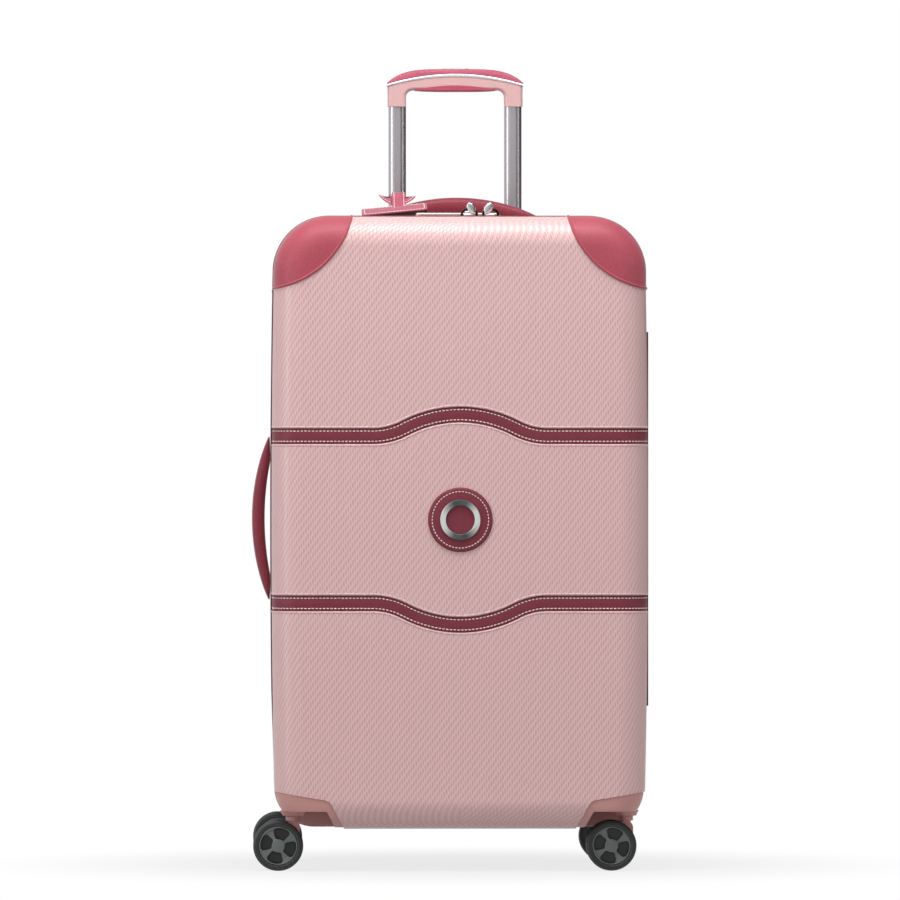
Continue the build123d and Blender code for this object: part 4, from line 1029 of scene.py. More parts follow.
@dataclass
class CornerGuards:
    """Leather guards over the top corners, each with a rolled edge."""

    case: CaseForm
    along_top: float = 90 * MM
    along_side: float = 81 * MM
    sagitta: float = 19 * MM
    lift: float = 0.7 * MM
    thick: float = 1.5 * MM
    roll_radius: float = 1.7 * MM
    margin: float = 0.8 * MM
    columns: int = 56
    rows: int = 30
    end_rows: int = 12
    halvings: int = 40

    def inner_edge(self) -> tuple[Vector, float]:
        """Finds the arc of the guard's inner edge on the right.

        Returns:
            Its centre, in X and Z, and its radius.
        """
        start = Vector((self.case.half_width - self.along_top, self.case.top))
        end = Vector((self.case.half_width, self.case.top - self.along_side))
        chord = end - start
        radius = (chord.length_squared / 4 + self.sagitta**2) / (2 * self.sagitta)
        out = Vector((-chord.y, chord.x)).normalized()
        return (start + end) / 2 + (radius - self.sagitta) * out, radius - self.margin

    def rim(self, share: float) -> tuple[Vector, Vector]:
        """Walks the outline from the guard's end on the top to its end on the side.

        Args:
            share: How far along, from 0 to 1.

        Returns:
            The point in X and Z and the outward normal there.
        """
        case = self.case
        radius = case.top_corner
        centre = Vector((case.half_at(case.top - radius) - radius, case.top - radius))
        first = centre.x - (case.half_width - self.along_top + self.margin)
        last = centre.y - (case.top - self.along_side + self.margin)
        arc = radius * math.pi / 2
        run = share * (first + arc + last)
        if run < first:
            return Vector((centre.x - first + run, case.top)), Vector((0.0, 1.0))
        angle = min((run - first) / radius, math.pi / 2)
        normal = Vector((math.sin(angle), math.cos(angle)))
        drop = max(run - first - arc, 0.0)
        return centre + radius * normal - Vector((0.0, drop)), normal

    def point(self, half: Half, side: int, share: float, run: float, lift: float) -> tuple[Vector, Vector]:
        """Finds a point of the guard's skin.

        Args:
            half: The half of the case.
            side: +1 for the right corner, -1 for the left one.
            share: How far along the outline.
            run: Length from the shell's rim towards and over the face.
            lift: Height above the skin.

        Returns:
            The point and the skin's normal there.
        """
        case = self.case
        start, out = self.rim(share)
        wall = abs(case.face_y(half) - case.rim_y(half)) - case.edge
        past = max(run - wall, 0.0)
        angle = min(past / case.edge, math.pi / 2)
        inset = case.edge * (1 - math.cos(angle)) + max(past - case.edge * math.pi / 2, 0.0)
        flat = start - inset * out
        y = case.rim_y(half) + half.outward * (min(run, wall) + case.edge * math.sin(angle))
        c = math.cos(angle)
        normal = Vector((side * out.x * c, half.outward * math.sin(angle), out.y * c))
        return Vector((side * flat.x, y, flat.y)) + lift * normal, normal

    def reach(self, half: Half, share: float) -> float:
        """Finds how far the guard reaches from the rim over the face, by halving.

        Args:
            half: The half of the case.
            share: How far along the outline.

        Returns:
            The length from the rim to the guard's inner edge.
        """
        centre, radius = self.inner_edge()
        low = abs(self.case.face_y(half) - self.case.rim_y(half)) - self.case.edge
        high = low + self.case.edge * math.pi / 2 + self.case.top_corner - self.case.edge
        for _ in range(self.halvings):
            middle = (low + high) / 2
            spot = self.point(half, 1, share, middle, 0.0)[0]
            if (Vector((spot.x, spot.z)) - centre).length < radius:
                low = middle
            else:
                high = middle
        return low

    def cover(self, half: Half, side: int, shares: list[float], reaches: list[float]) -> Object:
        """Lays the leather of one guard on the case.

        Args:
            half: The half of the case.
            side: +1 for the right corner, -1 for the left one.
            shares: Places along the outline.
            reaches: How far the guard reaches at each of them.

        Returns:
            The leather.
        """
        cover = shaped_grid(
            "guard",
            self.columns,
            self.rows,
            lambda i, j: self.point(half, side, shares[i], reaches[i] * j / self.rows, self.lift)[0],
            False,
        )
        edit(cover, lambda: bpy.ops.mesh.normals_make_consistent(inside=False))
        inside = Vector((0.0, self.case.seam_y, self.case.middle_z))
        middle = cover.data.polygons[len(cover.data.polygons) // 2]
        if middle.normal.dot(middle.center - inside) < 0:
            edit(cover, bpy.ops.mesh.flip_normals)
        return modify(cover, "SOLIDIFY", thickness=self.thick, offset=-1.0)

    def edge(self, half: Half, side: int, shares: list[float], reaches: list[float]) -> Path:
        """Walks the guard's free edge from the rim and back to it.

        Args:
            half: The half of the case.
            side: +1 for the right corner, -1 for the left one.
            shares: Places along the outline.
            reaches: How far the guard reaches at each of them.

        Returns:
            Points with the skin's normal at each.
        """
        sunk = self.lift / 2
        steps = [j / self.end_rows for j in range(self.end_rows)]
        out = [self.point(half, side, shares[0], reaches[0] * step, sunk) for step in steps]
        front = [self.point(half, side, share, reach, sunk) for share, reach in zip(shares, reaches)]
        back = [self.point(half, side, shares[-1], reaches[-1] * step, sunk) for step in reversed(steps)]
        return out + front + back

    def build(self) -> None:
        """Builds both guards of each half with their rolled edges."""
        shares = [(1 - math.cos(math.pi * i / self.columns)) / 2 for i in range(self.columns + 1)]
        for half in Half:
            reaches = [self.reach(half, share) for share in shares]
            covers, rolls = [], []
            for side in (1, -1):
                covers.append(self.cover(half, side, shares, reaches))
                rolls.append(bead("roll", self.edge(half, side, shares, reaches), self.roll_radius))
            name = half.value
            leather = join(f"{name}_guard_leather", covers)
            place_piece(leather, GUARD, half.body, "burgundy_leather", f"{name}_corner_guards")
            place_piece(join(f"{name}_guard_rolls", rolls), GUARD, half.body, "burgundy_leather")


@dataclass
class Medallion:
    """Round leather patch with a ring of stitching, under its metal ring."""

    middle: tuple[float, float, float] = (0.0, -180 * MM, 392 * MM)
    profile: Profile = (
        (0.0, 2.45), (15.0, 2.45), (22.0, 2.5), (29.4, 2.5), (30.8, 2.2), (32.0, 2.2), (33.4, 2.5),
        (34.8, 2.1), (35.7, 1.3), (36.0, 0.4), (35.8, 0.05), (0.0, 0.05),
    )
    sewn_radius: float = 31.4 * MM
    sewn_lift: float = 2.35 * MM
    sewn_pitch: float = 3.7 * MM
    sewn_length: float = 2.7 * MM
    steps: int = 96

    def build(self) -> None:
        """Turns the patch and sews it."""
        patch = lathe("medallion_leather", self.profile, self.steps, self.middle)
        place_piece(patch, STRAP, "lid", "burgundy_leather", "medallion_disc")
        x, y, z = self.middle
        path = [
            (
                Vector((x + self.sewn_radius * c, y - self.sewn_lift, z + self.sewn_radius * s)),
                Vector((0.0, -1.0, 0.0)),
            )
            for c, s in circle(self.steps)
        ]
        thread = stamped("medallion_stitching", stitch(self.sewn_length), paced(path, self.sewn_pitch, True))
        place_piece(thread, THREAD, "lid", "burgundy_leather")


@dataclass
class ZipLine:
    """Zip round the seam: two woven tapes with a piped edge, and moulded teeth."""

    case: CaseForm
    tooth_pitch: float = 3.0 * MM
    tooth_inset: float = 0.9 * MM
    welt_radius: float = 1.5 * MM
    welt_sunk: float = 0.3 * MM
    flush_z: float = 120 * MM
    fade: float = 80 * MM
    crest: float = 0.65
    tooth_size: tuple[float, float, float] = (1.9 * MM, 1.2 * MM, 1.8 * MM)
    tooth_away: float = 0.75 * MM
    tooth_round: float = 0.45 * MM
    welt_steps: int = 60
    welt_sides: int = 14
    welt_round: float = 0.7 * MM
    section: Profile = (
        (-4.2, 0.2), (-1.0, 0.2), (-0.6, 2.0), (-0.2, 4.0), (0.4, 4.7), (0.9, 4.8), (1.35, 5.5), (1.5, 6.3),
        (1.35, 7.2), (0.9, 7.9), (0.2, 8.1), (0.1, 5.9), (-3.1, 5.9), (-3.1, 11.6), (-4.2, 11.6),
    )

    def band(self, half: Half) -> list[list[Vector]]:
        """Runs the tape's section round the outline; its piping stands proud, least at the foot.

        Args:
            half: The half of the case.

        Returns:
            One closed line for each point of the section.
        """
        lines = []
        for grow, away in self.section:
            shift = Vector((0.0, self.case.seam_y + half.outward * away * MM, 0.0))
            line = []
            for point, normal in self.case.outline(grow * MM):
                low = 1 - min(max((point.z - self.flush_z) / self.fade, 0.0), 1.0)
                proud = max(grow, 0.0) * (self.crest * max(normal.z, 0.0) - low) * MM
                line.append(point + shift + proud * normal)
            lines.append(line)
        return lines

    def build(self) -> None:
        """Builds the tapes, the teeth and the welt on the hinge side."""
        for half in Half:
            name = half.value
            tape = loft(f"{name}_zip_fabric", self.band(half), True)
            place_piece(tape, TAPE, half.body, "zip_fabric", f"{name}_zip_tape")
            shift = Vector((0.0, self.case.seam_y + half.outward * self.tooth_away, 0.0))
            walk = [(point + shift, normal) for point, normal in self.case.outline(-self.tooth_inset)]
            tooth = block("tooth", self.tooth_size, self.tooth_round, 2)
            teeth = stamped(f"{name}_zip_teeth", tooth, paced(walk, self.tooth_pitch, True))
            place_piece(teeth, DARK_METAL, half.body, "zip_fabric")
        low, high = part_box("hinge_welt")
        x, y = low.x + self.welt_sunk, ((low + high) / 2).y
        heights = [low.z + (high.z - low.z) * i / self.welt_steps for i in range(self.welt_steps + 1)]
        path = [(Vector((x, y, z)), Vector((1.0, 0.0, 0.0))) for z in heights]
        welt = bead("hinge_welt_fabric", path, self.welt_radius, False, self.welt_sides)
        modify(welt, "BEVEL", width=self.welt_round, segments=2, limit_method="ANGLE")
        place_piece(welt, TAPE, "rear_case", "zip_fabric", "hinge_welt")


class Hand(Enum):
    """The two sides of the case, as seen from the front."""

    LEFT = "left"
    RIGHT = "right"

    @property
    def side(self) -> int:
        """Way along X to this side."""
        return -1 if self is Hand.LEFT else 1


class Twin(Enum):
    """The two wheels of a caster."""

    FRONT = "a"
    BACK = "b"

    @property
    def facing(self) -> int:
        """Way along Y that the wheel's outer side faces."""
        return -1 if self is Twin.FRONT else 1


@dataclass
class CasterWheels:
    """Twin wheels: a ribbed tyre on a four-spoke hub, modelled once and copied."""

    radius: float = 28 * MM
    trail: float = 16.6 * MM
    pin_x: float = 186 * MM
    pin_y: float = 130 * MM
    inner_gap: float = 6.3 * MM
    steps: int = 72
    phase: float = math.radians(-14)
    tyre: Profile = (
        (21.4, 0.6), (24.5, 0.0), (26.2, 0.4), (27.5, 1.4), (28.0, 3.0), (28.0, 5.9), (27.6, 6.1),
        (27.6, 6.9), (28.0, 7.1), (28.0, 10.0), (27.5, 11.6), (26.3, 12.6), (25.4, 12.9), (25.0, 12.4),
        (24.4, 12.4), (24.0, 12.8), (22.4, 12.6), (21.6, 12.0), (21.4, 11.0),
    )
    dish: Profile = (
        (0.0, 0.8), (21.3, 0.8), (21.3, 12.3), (20.8, 12.7), (19.8, 12.6), (19.3, 11.8), (15.0, 11.2),
        (9.0, 11.6), (7.6, 12.3), (6.6, 12.6), (0.0, 12.5),
    )
    backing: Profile = ((0.0, 6.0), (19.2, 6.0), (19.2, 6.6), (0.0, 6.6))
    # Radius in millimetres and angle in degrees of a window's corners, before they are rounded.
    pane: Profile = (
        (7.6, -36), (7.2, 0), (7.6, 36), (13.0, 34), (19.8, 30), (20.4, 0), (19.8, -30), (13.0, -34),
    )
    pane_depth: tuple[float, float] = (-4.5 * MM, -20 * MM)
    hub_round: float = 0.45 * MM
    hub_crease: float = math.radians(50)

    def window(self, turn: float) -> Object:
        """Models the tool for one window between two spokes.

        Args:
            turn: The window's angle about the axle.

        Returns:
            A closed prism that is wide at the rim and rounded at the boss.
        """
        lines = []
        for index, here in enumerate(self.pane):
            ahead = self.pane[(index + 1) % len(self.pane)]
            for share in (0.25, 0.75):
                radius, angle = (a * (1 - share) + b * share for a, b in zip(here, ahead))
                way = math.radians(angle) + turn
                x, z = radius * MM * math.cos(way), radius * MM * math.sin(way)
                lines.append([Vector((x, y, z)) for y in self.pane_depth])
        return loft("window", lines)

    def hub(self) -> Object:
        """Turns the dished hub, cuts its windows and rounds their edges.

        Returns:
            The hub at the origin.
        """
        hub = lathe("hub", self.dish, self.steps)
        for quarter in range(4):
            cut(hub, self.window(quarter * math.pi / 2 + self.phase))
        return modify(
            hub, "BEVEL", width=self.hub_round, segments=2, limit_method="ANGLE", angle_limit=self.hub_crease
        )

    def build(self) -> None:
        """Copies the tyre, the hub and its backing to the eight wheels."""
        models = (
            (lathe("tyre", self.tyre, self.steps), TYRE, "tyre"),
            (self.hub(), HUB, "hub"),
            (lathe("backing", self.backing, self.steps), BLACK, "backing"),
        )
        for half, hand, twin in product(Half, Hand, Twin):
            wheel = f"wheel_{half.value}_{hand.value}_{twin.value}"
            x = hand.side * self.pin_x - self.trail
            y = half.outward * self.pin_y + twin.facing * self.inner_gap
            turn = Matrix.Rotation(0.0 if twin is Twin.FRONT else math.pi, 4, "Z")
            for model, finish, part in models:
                piece = model.copy()
                piece.data = model.data.copy()
                piece.name = f"{wheel}_{part}"
                bpy.context.scene.collection.objects.link(piece)
                piece.matrix_world = Matrix.Translation((x, y, self.radius)) @ turn
                place_piece(piece, finish, wheel, "wheel_rubber", wheel)
        for model, _, _ in models:
            bpy.data.objects.remove(model)


@dataclass
class CarryHandle:
    """Low arched carry handle in padded leather, on two flat tongues."""

    name: str
    base: Matrix
    rise: float
    half_length: float = 92 * MM
    gap: float = 7.5 * MM
    inner_half: float = 68 * MM
    inner_end: float = 0.3 * MM
    width: float = 28 * MM
    end: float = 4 * MM
    foot: float = 1.1 * MM
    tongue: tuple[float, float, float] = (4 * MM, 18 * MM, 29 * MM)
    tongue_x: float = 72 * MM
    tongue_z: float = -11.5 * MM
    tongue_round: float = 0.8 * MM
    # A lower power makes the arch's section squarer, a higher one its ends.
    square_y: float = 0.62
    square_z: float = 0.7
    end_power: float = 14
    end_wide: float = 0.8
    end_high: float = 0.35
    steps: int = 64
    sides: int = 24

    def arc(self, x: float, half: float, low: float, high: float) -> float:
        """Height of a shallow arc.

        Args:
            x: Distance from the arc's middle.
            half: Half the arc's length.
            low: Its height at the ends.
            high: Its height in the middle.

        Returns:
            The height at x.
        """
        chord = high - low
        radius = (half**2 + chord**2) / (2 * chord)
        return high - radius + math.sqrt(max(radius**2 - x**2, 0.0))

    def build(self) -> None:
        """Sweeps the padded arch and joins its tongues to it."""
        lines: list[list[Vector]] = [[] for _ in range(self.sides)]
        for i in range(self.steps + 1):
            share = -math.cos(math.pi * i / self.steps)
            x = share * self.half_length
            high = self.arc(x, self.half_length, self.end, self.rise)
            low = self.foot
            if abs(x) < self.inner_half:
                low = max(self.foot, self.arc(x, self.inner_half, self.inner_end, self.gap))
            full = math.sqrt(1 - abs(share) ** self.end_power)
            half_wide = self.width / 2 * (self.end_wide + (1 - self.end_wide) * full)
            half_high = (high - low) / 2 * (self.end_high + (1 - self.end_high) * full)
            for line, (c, s) in zip(lines, circle(self.sides)):
                y = half_wide * math.copysign(abs(c) ** self.square_y, c)
                z = (high + low) / 2 + half_high * math.copysign(abs(s) ** self.square_z, s)
                line.append(self.base @ Vector((x, y, z)))
        pieces = [loft("arch", lines)]
        for side in (-1, 1):
            tongue = block("tongue", self.tongue, self.tongue_round, 3)
            tongue.matrix_world = self.base @ Matrix.Translation((side * self.tongue_x, 0.0, self.tongue_z))
            pieces.append(tongue)
        handle = join(f"{self.name}_leather", pieces)
        place_piece(handle, HANDLE, self.name, "burgundy_leather", self.name)


@dataclass
class HandleGrip:
    """Dress of the telescopic handle's grip: bright trim, a leather top cover and a pad under the bar."""

    half: float = 77.4 * MM
    depth: float = 23 * MM
    middle_y: float = 136 * MM
    trim_end_z: float = 883.6 * MM
    trim_crown_z: float = 894.4 * MM
    trim_end: float = 2.6 * MM
    trim_middle: float = 3.9 * MM
    trim_proud: float = 0.5 * MM
    trim_bulge: float = 1.3 * MM
    trim_soft: float = 0.4 * MM
    trim_slot: tuple[float, float] = (141 * MM, 15 * MM)
    cover_end_z: float = 888.5 * MM
    cover_crown_z: float = 904 * MM
    cover_overlap: float = 0.3 * MM
    cover_slot: tuple[float, float] = (32.6 * MM, 12.6 * MM)
    cover_sides: int = 20
    cover_square_y: float = 0.45
    cover_square_z: float = 0.6
    fullness: float = 4.6
    slot_deep: float = 50 * MM
    bar_z: float = 879.5 * MM
    pad_half: float = 46 * MM
    pad_inner: float = 11.05 * MM
    pad_outer: float = 12.4 * MM
    pad_round: float = 1.2 * MM
    pad_squeeze: float = 0.08 * MM
    pad_tall: tuple[float, float] = (0.6 * MM, 5.2 * MM)
    pad_under: tuple[float, float] = (0.25 * MM, 1.3 * MM)
    steps: int = 60

    def trim_line(self, share: float) -> tuple[float, float]:
        """Heights of the trim's lower and upper edge.

        Args:
            share: How far along the grip, from -1 to 1.

        Returns:
            The lower and the upper height.
        """
        low = self.trim_end_z + (self.trim_crown_z - self.trim_end_z) * (1 - share**2)
        return low, low + self.trim_end + (self.trim_middle - self.trim_end) * (1 - share**2)

    def trim(self) -> Object:
        """Sweeps the half-round trim band round the grip's shoulder.

        Returns:
            The trim.
        """
        half = self.depth / 2 + self.trim_proud
        back, soft = half - self.trim_bulge, half - self.trim_soft
        front = ((back, 0.0), (soft, 0.12), (half, 0.36), (half, 0.64), (soft, 0.88))
        section = front + ((back, 1.0),) + tuple((-y, 1 - z) for y, z in front) + ((-back, 0.0),)
        lines: list[list[Vector]] = [[] for _ in section]
        for i in range(self.steps + 1):
            share = -math.cos(math.pi * i / self.steps)
            low, high = self.trim_line(share)
            for line, (y, rise) in zip(lines, section):
                x = share * (self.half + self.trim_proud)
                line.append(Vector((x, self.middle_y + y, low + (high - low) * rise)))
        return cut(loft("grip_trim_band", lines), self.slot(*self.trim_slot))

    def slot(self, length: float, width: float) -> Object:
        """Models the tool that clears a slot for the button and its crossbar.

        Args:
            length: The slot's length.
            width: The slot's width.

        Returns:
            A closed upright prism with rounded ends.
        """
        place = (0.0, self.middle_y, self.cover_crown_z)
        tool = only(block("slot", (length, width, self.slot_deep), 0.49 * width, 8, place))
        bpy.ops.object.transform_apply(location=True, rotation=True, scale=True)
        return tool

    def cover(self) -> Object:
        """Sweeps the full, crowned cover over the trim and cuts the button's slot.

        Returns:
            The cover.
        """
        lines: list[list[Vector]] = [[] for _ in range(self.cover_sides)]
        for i in range(self.steps + 1):
            share = -math.cos(math.pi * i / self.steps)
            low = self.trim_line(share)[1] - self.cover_overlap
            crown = 1 - abs(share) ** self.fullness
            high = self.cover_end_z + (self.cover_crown_z - self.cover_end_z) * crown
            for line, (c, s) in zip(lines, circle(self.cover_sides)):
                y = self.middle_y + self.depth / 2 * math.copysign(abs(c) ** self.cover_square_y, c)
                z = low + (high - low) * max(s, 0.0) ** self.cover_square_z
                line.append(Vector((share * self.half, y, z)))
        return cut(loft("grip_cover", lines), self.slot(*self.cover_slot))

    def pad(self) -> Object:
        """Wraps the pad round the underside of the bar, tallest in the middle.

        Returns:
            The pad.
        """
        inner, outer = self.pad_inner, self.pad_outer
        turn = outer - self.pad_round
        # The second value is a share of the pad's height above the bar's underside, or of its depth below.
        section = (
            (-inner, 1.0), (-outer, 0.9), (-outer, 0.4), (-outer, 0.0), (-turn, -0.9524), (0.0, -1.0),
            (turn, -0.9524), (outer, 0.0), (outer, 0.4), (outer, 0.9), (inner, 1.0), (inner, 0.0),
            (0.0, 0.0), (-inner, 0.0),
        )
        lines: list[list[Vector]] = [[] for _ in section]
        for i in range(self.steps + 1):
            share = 2 * i / self.steps - 1
            tall = self.pad_tall[0] + self.pad_tall[1] * (1 - share**2)
            under = self.pad_under[0] + self.pad_under[1] * (1 - share**4)
            for line, (y, z) in zip(lines, section):
                level = self.bar_z - self.pad_squeeze + z * (tall if z > 0 else under)
                line.append(Vector((share * self.pad_half, self.middle_y + y, level)))
        return loft("grip_pad", lines)

    def build(self) -> None:
        """Sets the trim, then joins the cover and the pad as the grip's leather."""
        place_piece(self.trim(), CHROME, "trolley", "bright_metal", "grip_trim")
        leather = join("grip_leather_cover", [self.cover(), self.pad()])
        place_piece(leather, PAINTED_LIT_LEATHER, "trolley", "burgundy_leather", "grip_leather")


@dataclass
class LuggageTag:
    """Stitched leather tag on a strap whose eye hangs on the handle's left tube."""

    length: float = 74 * MM
    width: float = 40 * MM
    thick: float = 1.5 * MM
    corner: float = 5 * MM
    # The black sheet under the plate stands partly for the tag's dark underside and partly for painted shadow
    # in the gap below it.
    underside_and_shadow_thick: float = 1.2 * MM
    underside_and_shadow_inset: float = 0.8 * MM
    shadow_wedge_taper: float = 0.045
    centre: tuple[float, float, float] = (-71.5 * MM, -36 * MM, 740.15 * MM)
    pitch: float = math.radians(11)
    roll: float = math.radians(-5.5)
    strap_x: float = -66 * MM
    strap_width: float = 15 * MM
    strap_thick: float = 1.8 * MM
    strap_soft: float = 0.7 * MM
    # Y and Z in millimetres from the plate over the carry handle to the eye, before the run is rounded.
    strap_run: Profile = (
        (-34.0, 739.4), (-18.0, 744.5), (4.0, 758.4), (22.0, 760.0), (56.0, 760.0), (78.0, 757.0),
        (96.0, 751.4), (112.0, 748.4),
    )
    eye_y: float = 136 * MM
    eye_z: float = 756 * MM
    eye_length: float = 42 * MM
    eye_width: float = 36 * MM
    eye_front: float = 27 * MM
    eye_dip: float = 8.4 * MM
    eye_hole: float = 14.6 * MM
    eye_tilt: float = 0.05
    eye_steps: int = 64
    # Shares of the way from the hole to the outer edge, and of the thickness.
    eye_section: Profile = (
        (0.0, 0.3), (0.0, 0.7), (0.12, 1.0), (0.88, 1.0), (1.0, 0.7), (1.0, 0.3), (0.88, 0.0), (0.12, 0.0),
    )
    curl_left: float = 12 * MM
    curl_right: float = 5.5 * MM
    plate_seam: float = 3.2 * MM
    plate_seam_turn: float = 3.0 * MM
    strap_seam: float = 2.0 * MM
    strap_seam_up: float = 1.05
    eye_seam: tuple[float, float] = (1.6 * MM, 1.4 * MM)
    seam_pitch: float = 3.6 * MM
    eye_pitch: float = 3.4 * MM
    stitch_size: tuple[float, float] = (3.0 * MM, 1.0 * MM)

    def seat(self) -> Matrix:
        """Gives the plate's place and tilt."""
        tilt = Matrix.Rotation(self.pitch, 4, "X") @ Matrix.Rotation(self.roll, 4, "Y")
        return Matrix.Translation(self.centre) @ tilt

    def layer(self, name: str, inset: float, thick: float, drop: float) -> Object:
        """Models one layer of the plate with rounded corners and a soft rim.

        Args:
            name: The object's name.
            inset: How far its rim lies inside the plate's.
            thick: Its thickness.
            drop: How far its middle lies below the leather's.

        Returns:
            The layer, in its place.
        """
        bpy.ops.object.select_all(action="DESELECT")
        bpy.ops.mesh.primitive_cube_add(size=1.0)
        layer = added(name)
        size = (self.length - 2 * inset, self.width - 2 * inset, thick)
        edit(
            layer,
            lambda: bpy.ops.transform.resize(value=size),
            lambda: bpy.ops.mesh.select_mode(type="EDGE"),
        )
        for part in (*layer.data.vertices, *layer.data.polygons):
            part.select = False
        for edge in layer.data.edges:
            a, b = (layer.data.vertices[i].co for i in edge.vertices)
            edge.select = abs(a.z - b.z) > thick / 2
        bpy.ops.object.mode_set(mode="EDIT")
        bpy.ops.mesh.bevel(offset=self.corner - inset, segments=6)
        bpy.ops.mesh.select_mode(type="VERT")
        bpy.ops.object.mode_set(mode="OBJECT")
        modify(
            layer, "BEVEL", width=0.3 * thick, segments=3, limit_method="ANGLE", angle_limit=math.radians(60)
        )
        layer.matrix_world = self.seat() @ Matrix.Translation((0.0, 0.0, -drop))
        return layer

    def strap_path(self, across: float, up: float) -> Path:
        """Draws a line along the strap, from the plate over the carry handle to the eye.

        Args:
            across: Distance from the strap's middle line.
            up: Height above it, as a share of half the strap's thickness.

        Returns:
            Points and outward directions.
        """
        run = [Vector((0.0, y, z)) * MM for y, z in self.strap_run]
        for _ in range(3):
            finer = [run[0]]
            for a, b in zip(run, run[1:]):
                finer += [a.lerp(b, 0.25), a.lerp(b, 0.75)]
            run = finer + [run[-1]]
        path: Path = []
        for point, way in zip(run, tangents(run)):
            out = Vector((0.0, -way.z, way.y))
            spot = Vector((self.strap_x + across, point.y, point.z))
            path.append((spot + up * self.strap_thick / 2 * out, out))
        return path

    def strap(self) -> Object:
        """Sweeps the strap's soft-edged section along its run.

        Returns:
            The strap.
        """
        half = self.strap_width / 2
        soft = half - self.strap_soft
        section = (
            (-half, -0.4), (-half, 0.4), (-soft, 1.0), (0.0, 1.1), (soft, 1.0), (half, 0.4), (half, -0.4),
            (soft, -1.0), (-soft, -1.0),
        )
        lines = [[point for point, _ in self.strap_path(across, up)] for across, up in section]
        return loft("tag_strap", lines)

    def oval(self, inset_x: float, inset_y: float) -> list[Vector]:
        """Draws an oval inside the eye's outer edge, which reaches further at the front.

        Args:
            inset_x: How far inside the edge it runs along X.
            inset_y: How far inside the edge it runs along Y.

        Returns:
            Points in X and Y round the tube's middle.
        """
        points = []
        for c, s in circle(self.eye_steps):
            reach = self.eye_width / 2 if s > 0 else self.eye_front
            points.append(Vector(((self.eye_length / 2 - inset_x) * c, (reach - inset_y) * s)))
        return points

    def eye_point(self, x: float, y: float, up: float) -> Vector:
        """Places a point of the eye, whose ends curl up and whose front dips to the strap.

        Args:
            x: Distance from the tube's middle along X.
            y: Distance from the tube's middle along Y.
            up: Height above the eye's underside.

        Returns:
            The point.
        """
        past = max(abs(x) / self.eye_length * 2 - 0.5, 0.0)
        curl = (self.curl_right if x > 0 else self.curl_left) * past**2
        slope = self.eye_tilt * y if y > 0 else -self.eye_dip * (y / self.eye_front) ** 2
        return Vector((self.strap_x + x, self.eye_y + y, self.eye_z + up + curl + slope))

    def eye(self) -> Object:
        """Models the oval eye as a soft flat ring whose ends turn up.

        Returns:
            The eye.
        """
        lines = []
        for across, up in self.eye_section:
            line = []
            for (c, s), outer in zip(circle(self.eye_steps), self.oval(0.0, 0.0)):
                spot = Vector((self.eye_hole * c, self.eye_hole * s)).lerp(outer, across)
                line.append(self.eye_point(spot.x, spot.y, up * self.strap_thick))
            lines.append(line)
        return loft("tag_eye", lines, True)

    def sewing(self) -> list[Matrix]:
        """Places the stitches round the plate's top, along the strap's sides and round the eye.

        Returns:
            The seat of each stitch.
        """
        turn = self.plate_seam_turn
        half_x = self.length / 2 - self.plate_seam - turn
        half_y = self.width / 2 - self.plate_seam - turn
        place = self.seat()
        up = Vector((0.0, 0.0, 1.0))
        ring: Path = []
        for quarter, (x, y) in enumerate(((1, 1), (-1, 1), (-1, -1), (1, -1))):
            for i in range(7):
                angle = math.radians(90 * quarter + 15 * i)
                across, along = x * half_x + turn * math.cos(angle), y * half_y + turn * math.sin(angle)
                ring.append((place @ Vector((across, along, self.thick / 2)), place.to_3x3() @ up))
        seats = paced(ring, self.seam_pitch, True)
        for side in (-1, 1):
            across = side * (self.strap_width / 2 - self.strap_seam)
            seats += paced(self.strap_path(across, self.strap_seam_up), self.seam_pitch)
        oval = [(self.eye_point(*spot, self.strap_thick), up) for spot in self.oval(*self.eye_seam)]
        return seats + paced(oval, self.eye_pitch, True)

    def build(self) -> None:
        """Joins the leather pieces, sews them and lays a black sheet under the plate: partly the tag's dark
        underside, partly painted shadow in the gap, tapered thicker to the right.
        """
        plate = self.layer("plate", 0.0, self.thick, 0.0)
        leather = join("luggage_tag_leather", [plate, self.strap(), self.eye()])
        place_piece(leather, PAINTED_LIT_LEATHER, "luggage_tag", "burgundy_leather", "luggage_tag")
        thread = stamped("luggage_tag_stitching", stitch(*self.stitch_size), self.sewing())
        place_piece(thread, THREAD, "luggage_tag", "burgundy_leather")
        # Painted shadow: the black sheet thickens to the right, to fill the shaded gap between the tag and
        # the shell.
        drop = (self.thick + self.underside_and_shadow_thick) / 2
        backing = self.layer("luggage_tag_underside_and_shadow", self.underside_and_shadow_inset, self.underside_and_shadow_thick, drop)
        for vertex in backing.data.vertices:
            if vertex.co.z < 0:
                vertex.co.z -= self.shadow_wedge_taper * (vertex.co.x + self.length / 2)
        place_piece(backing, BLACK, "luggage_tag", "burgundy_leather")


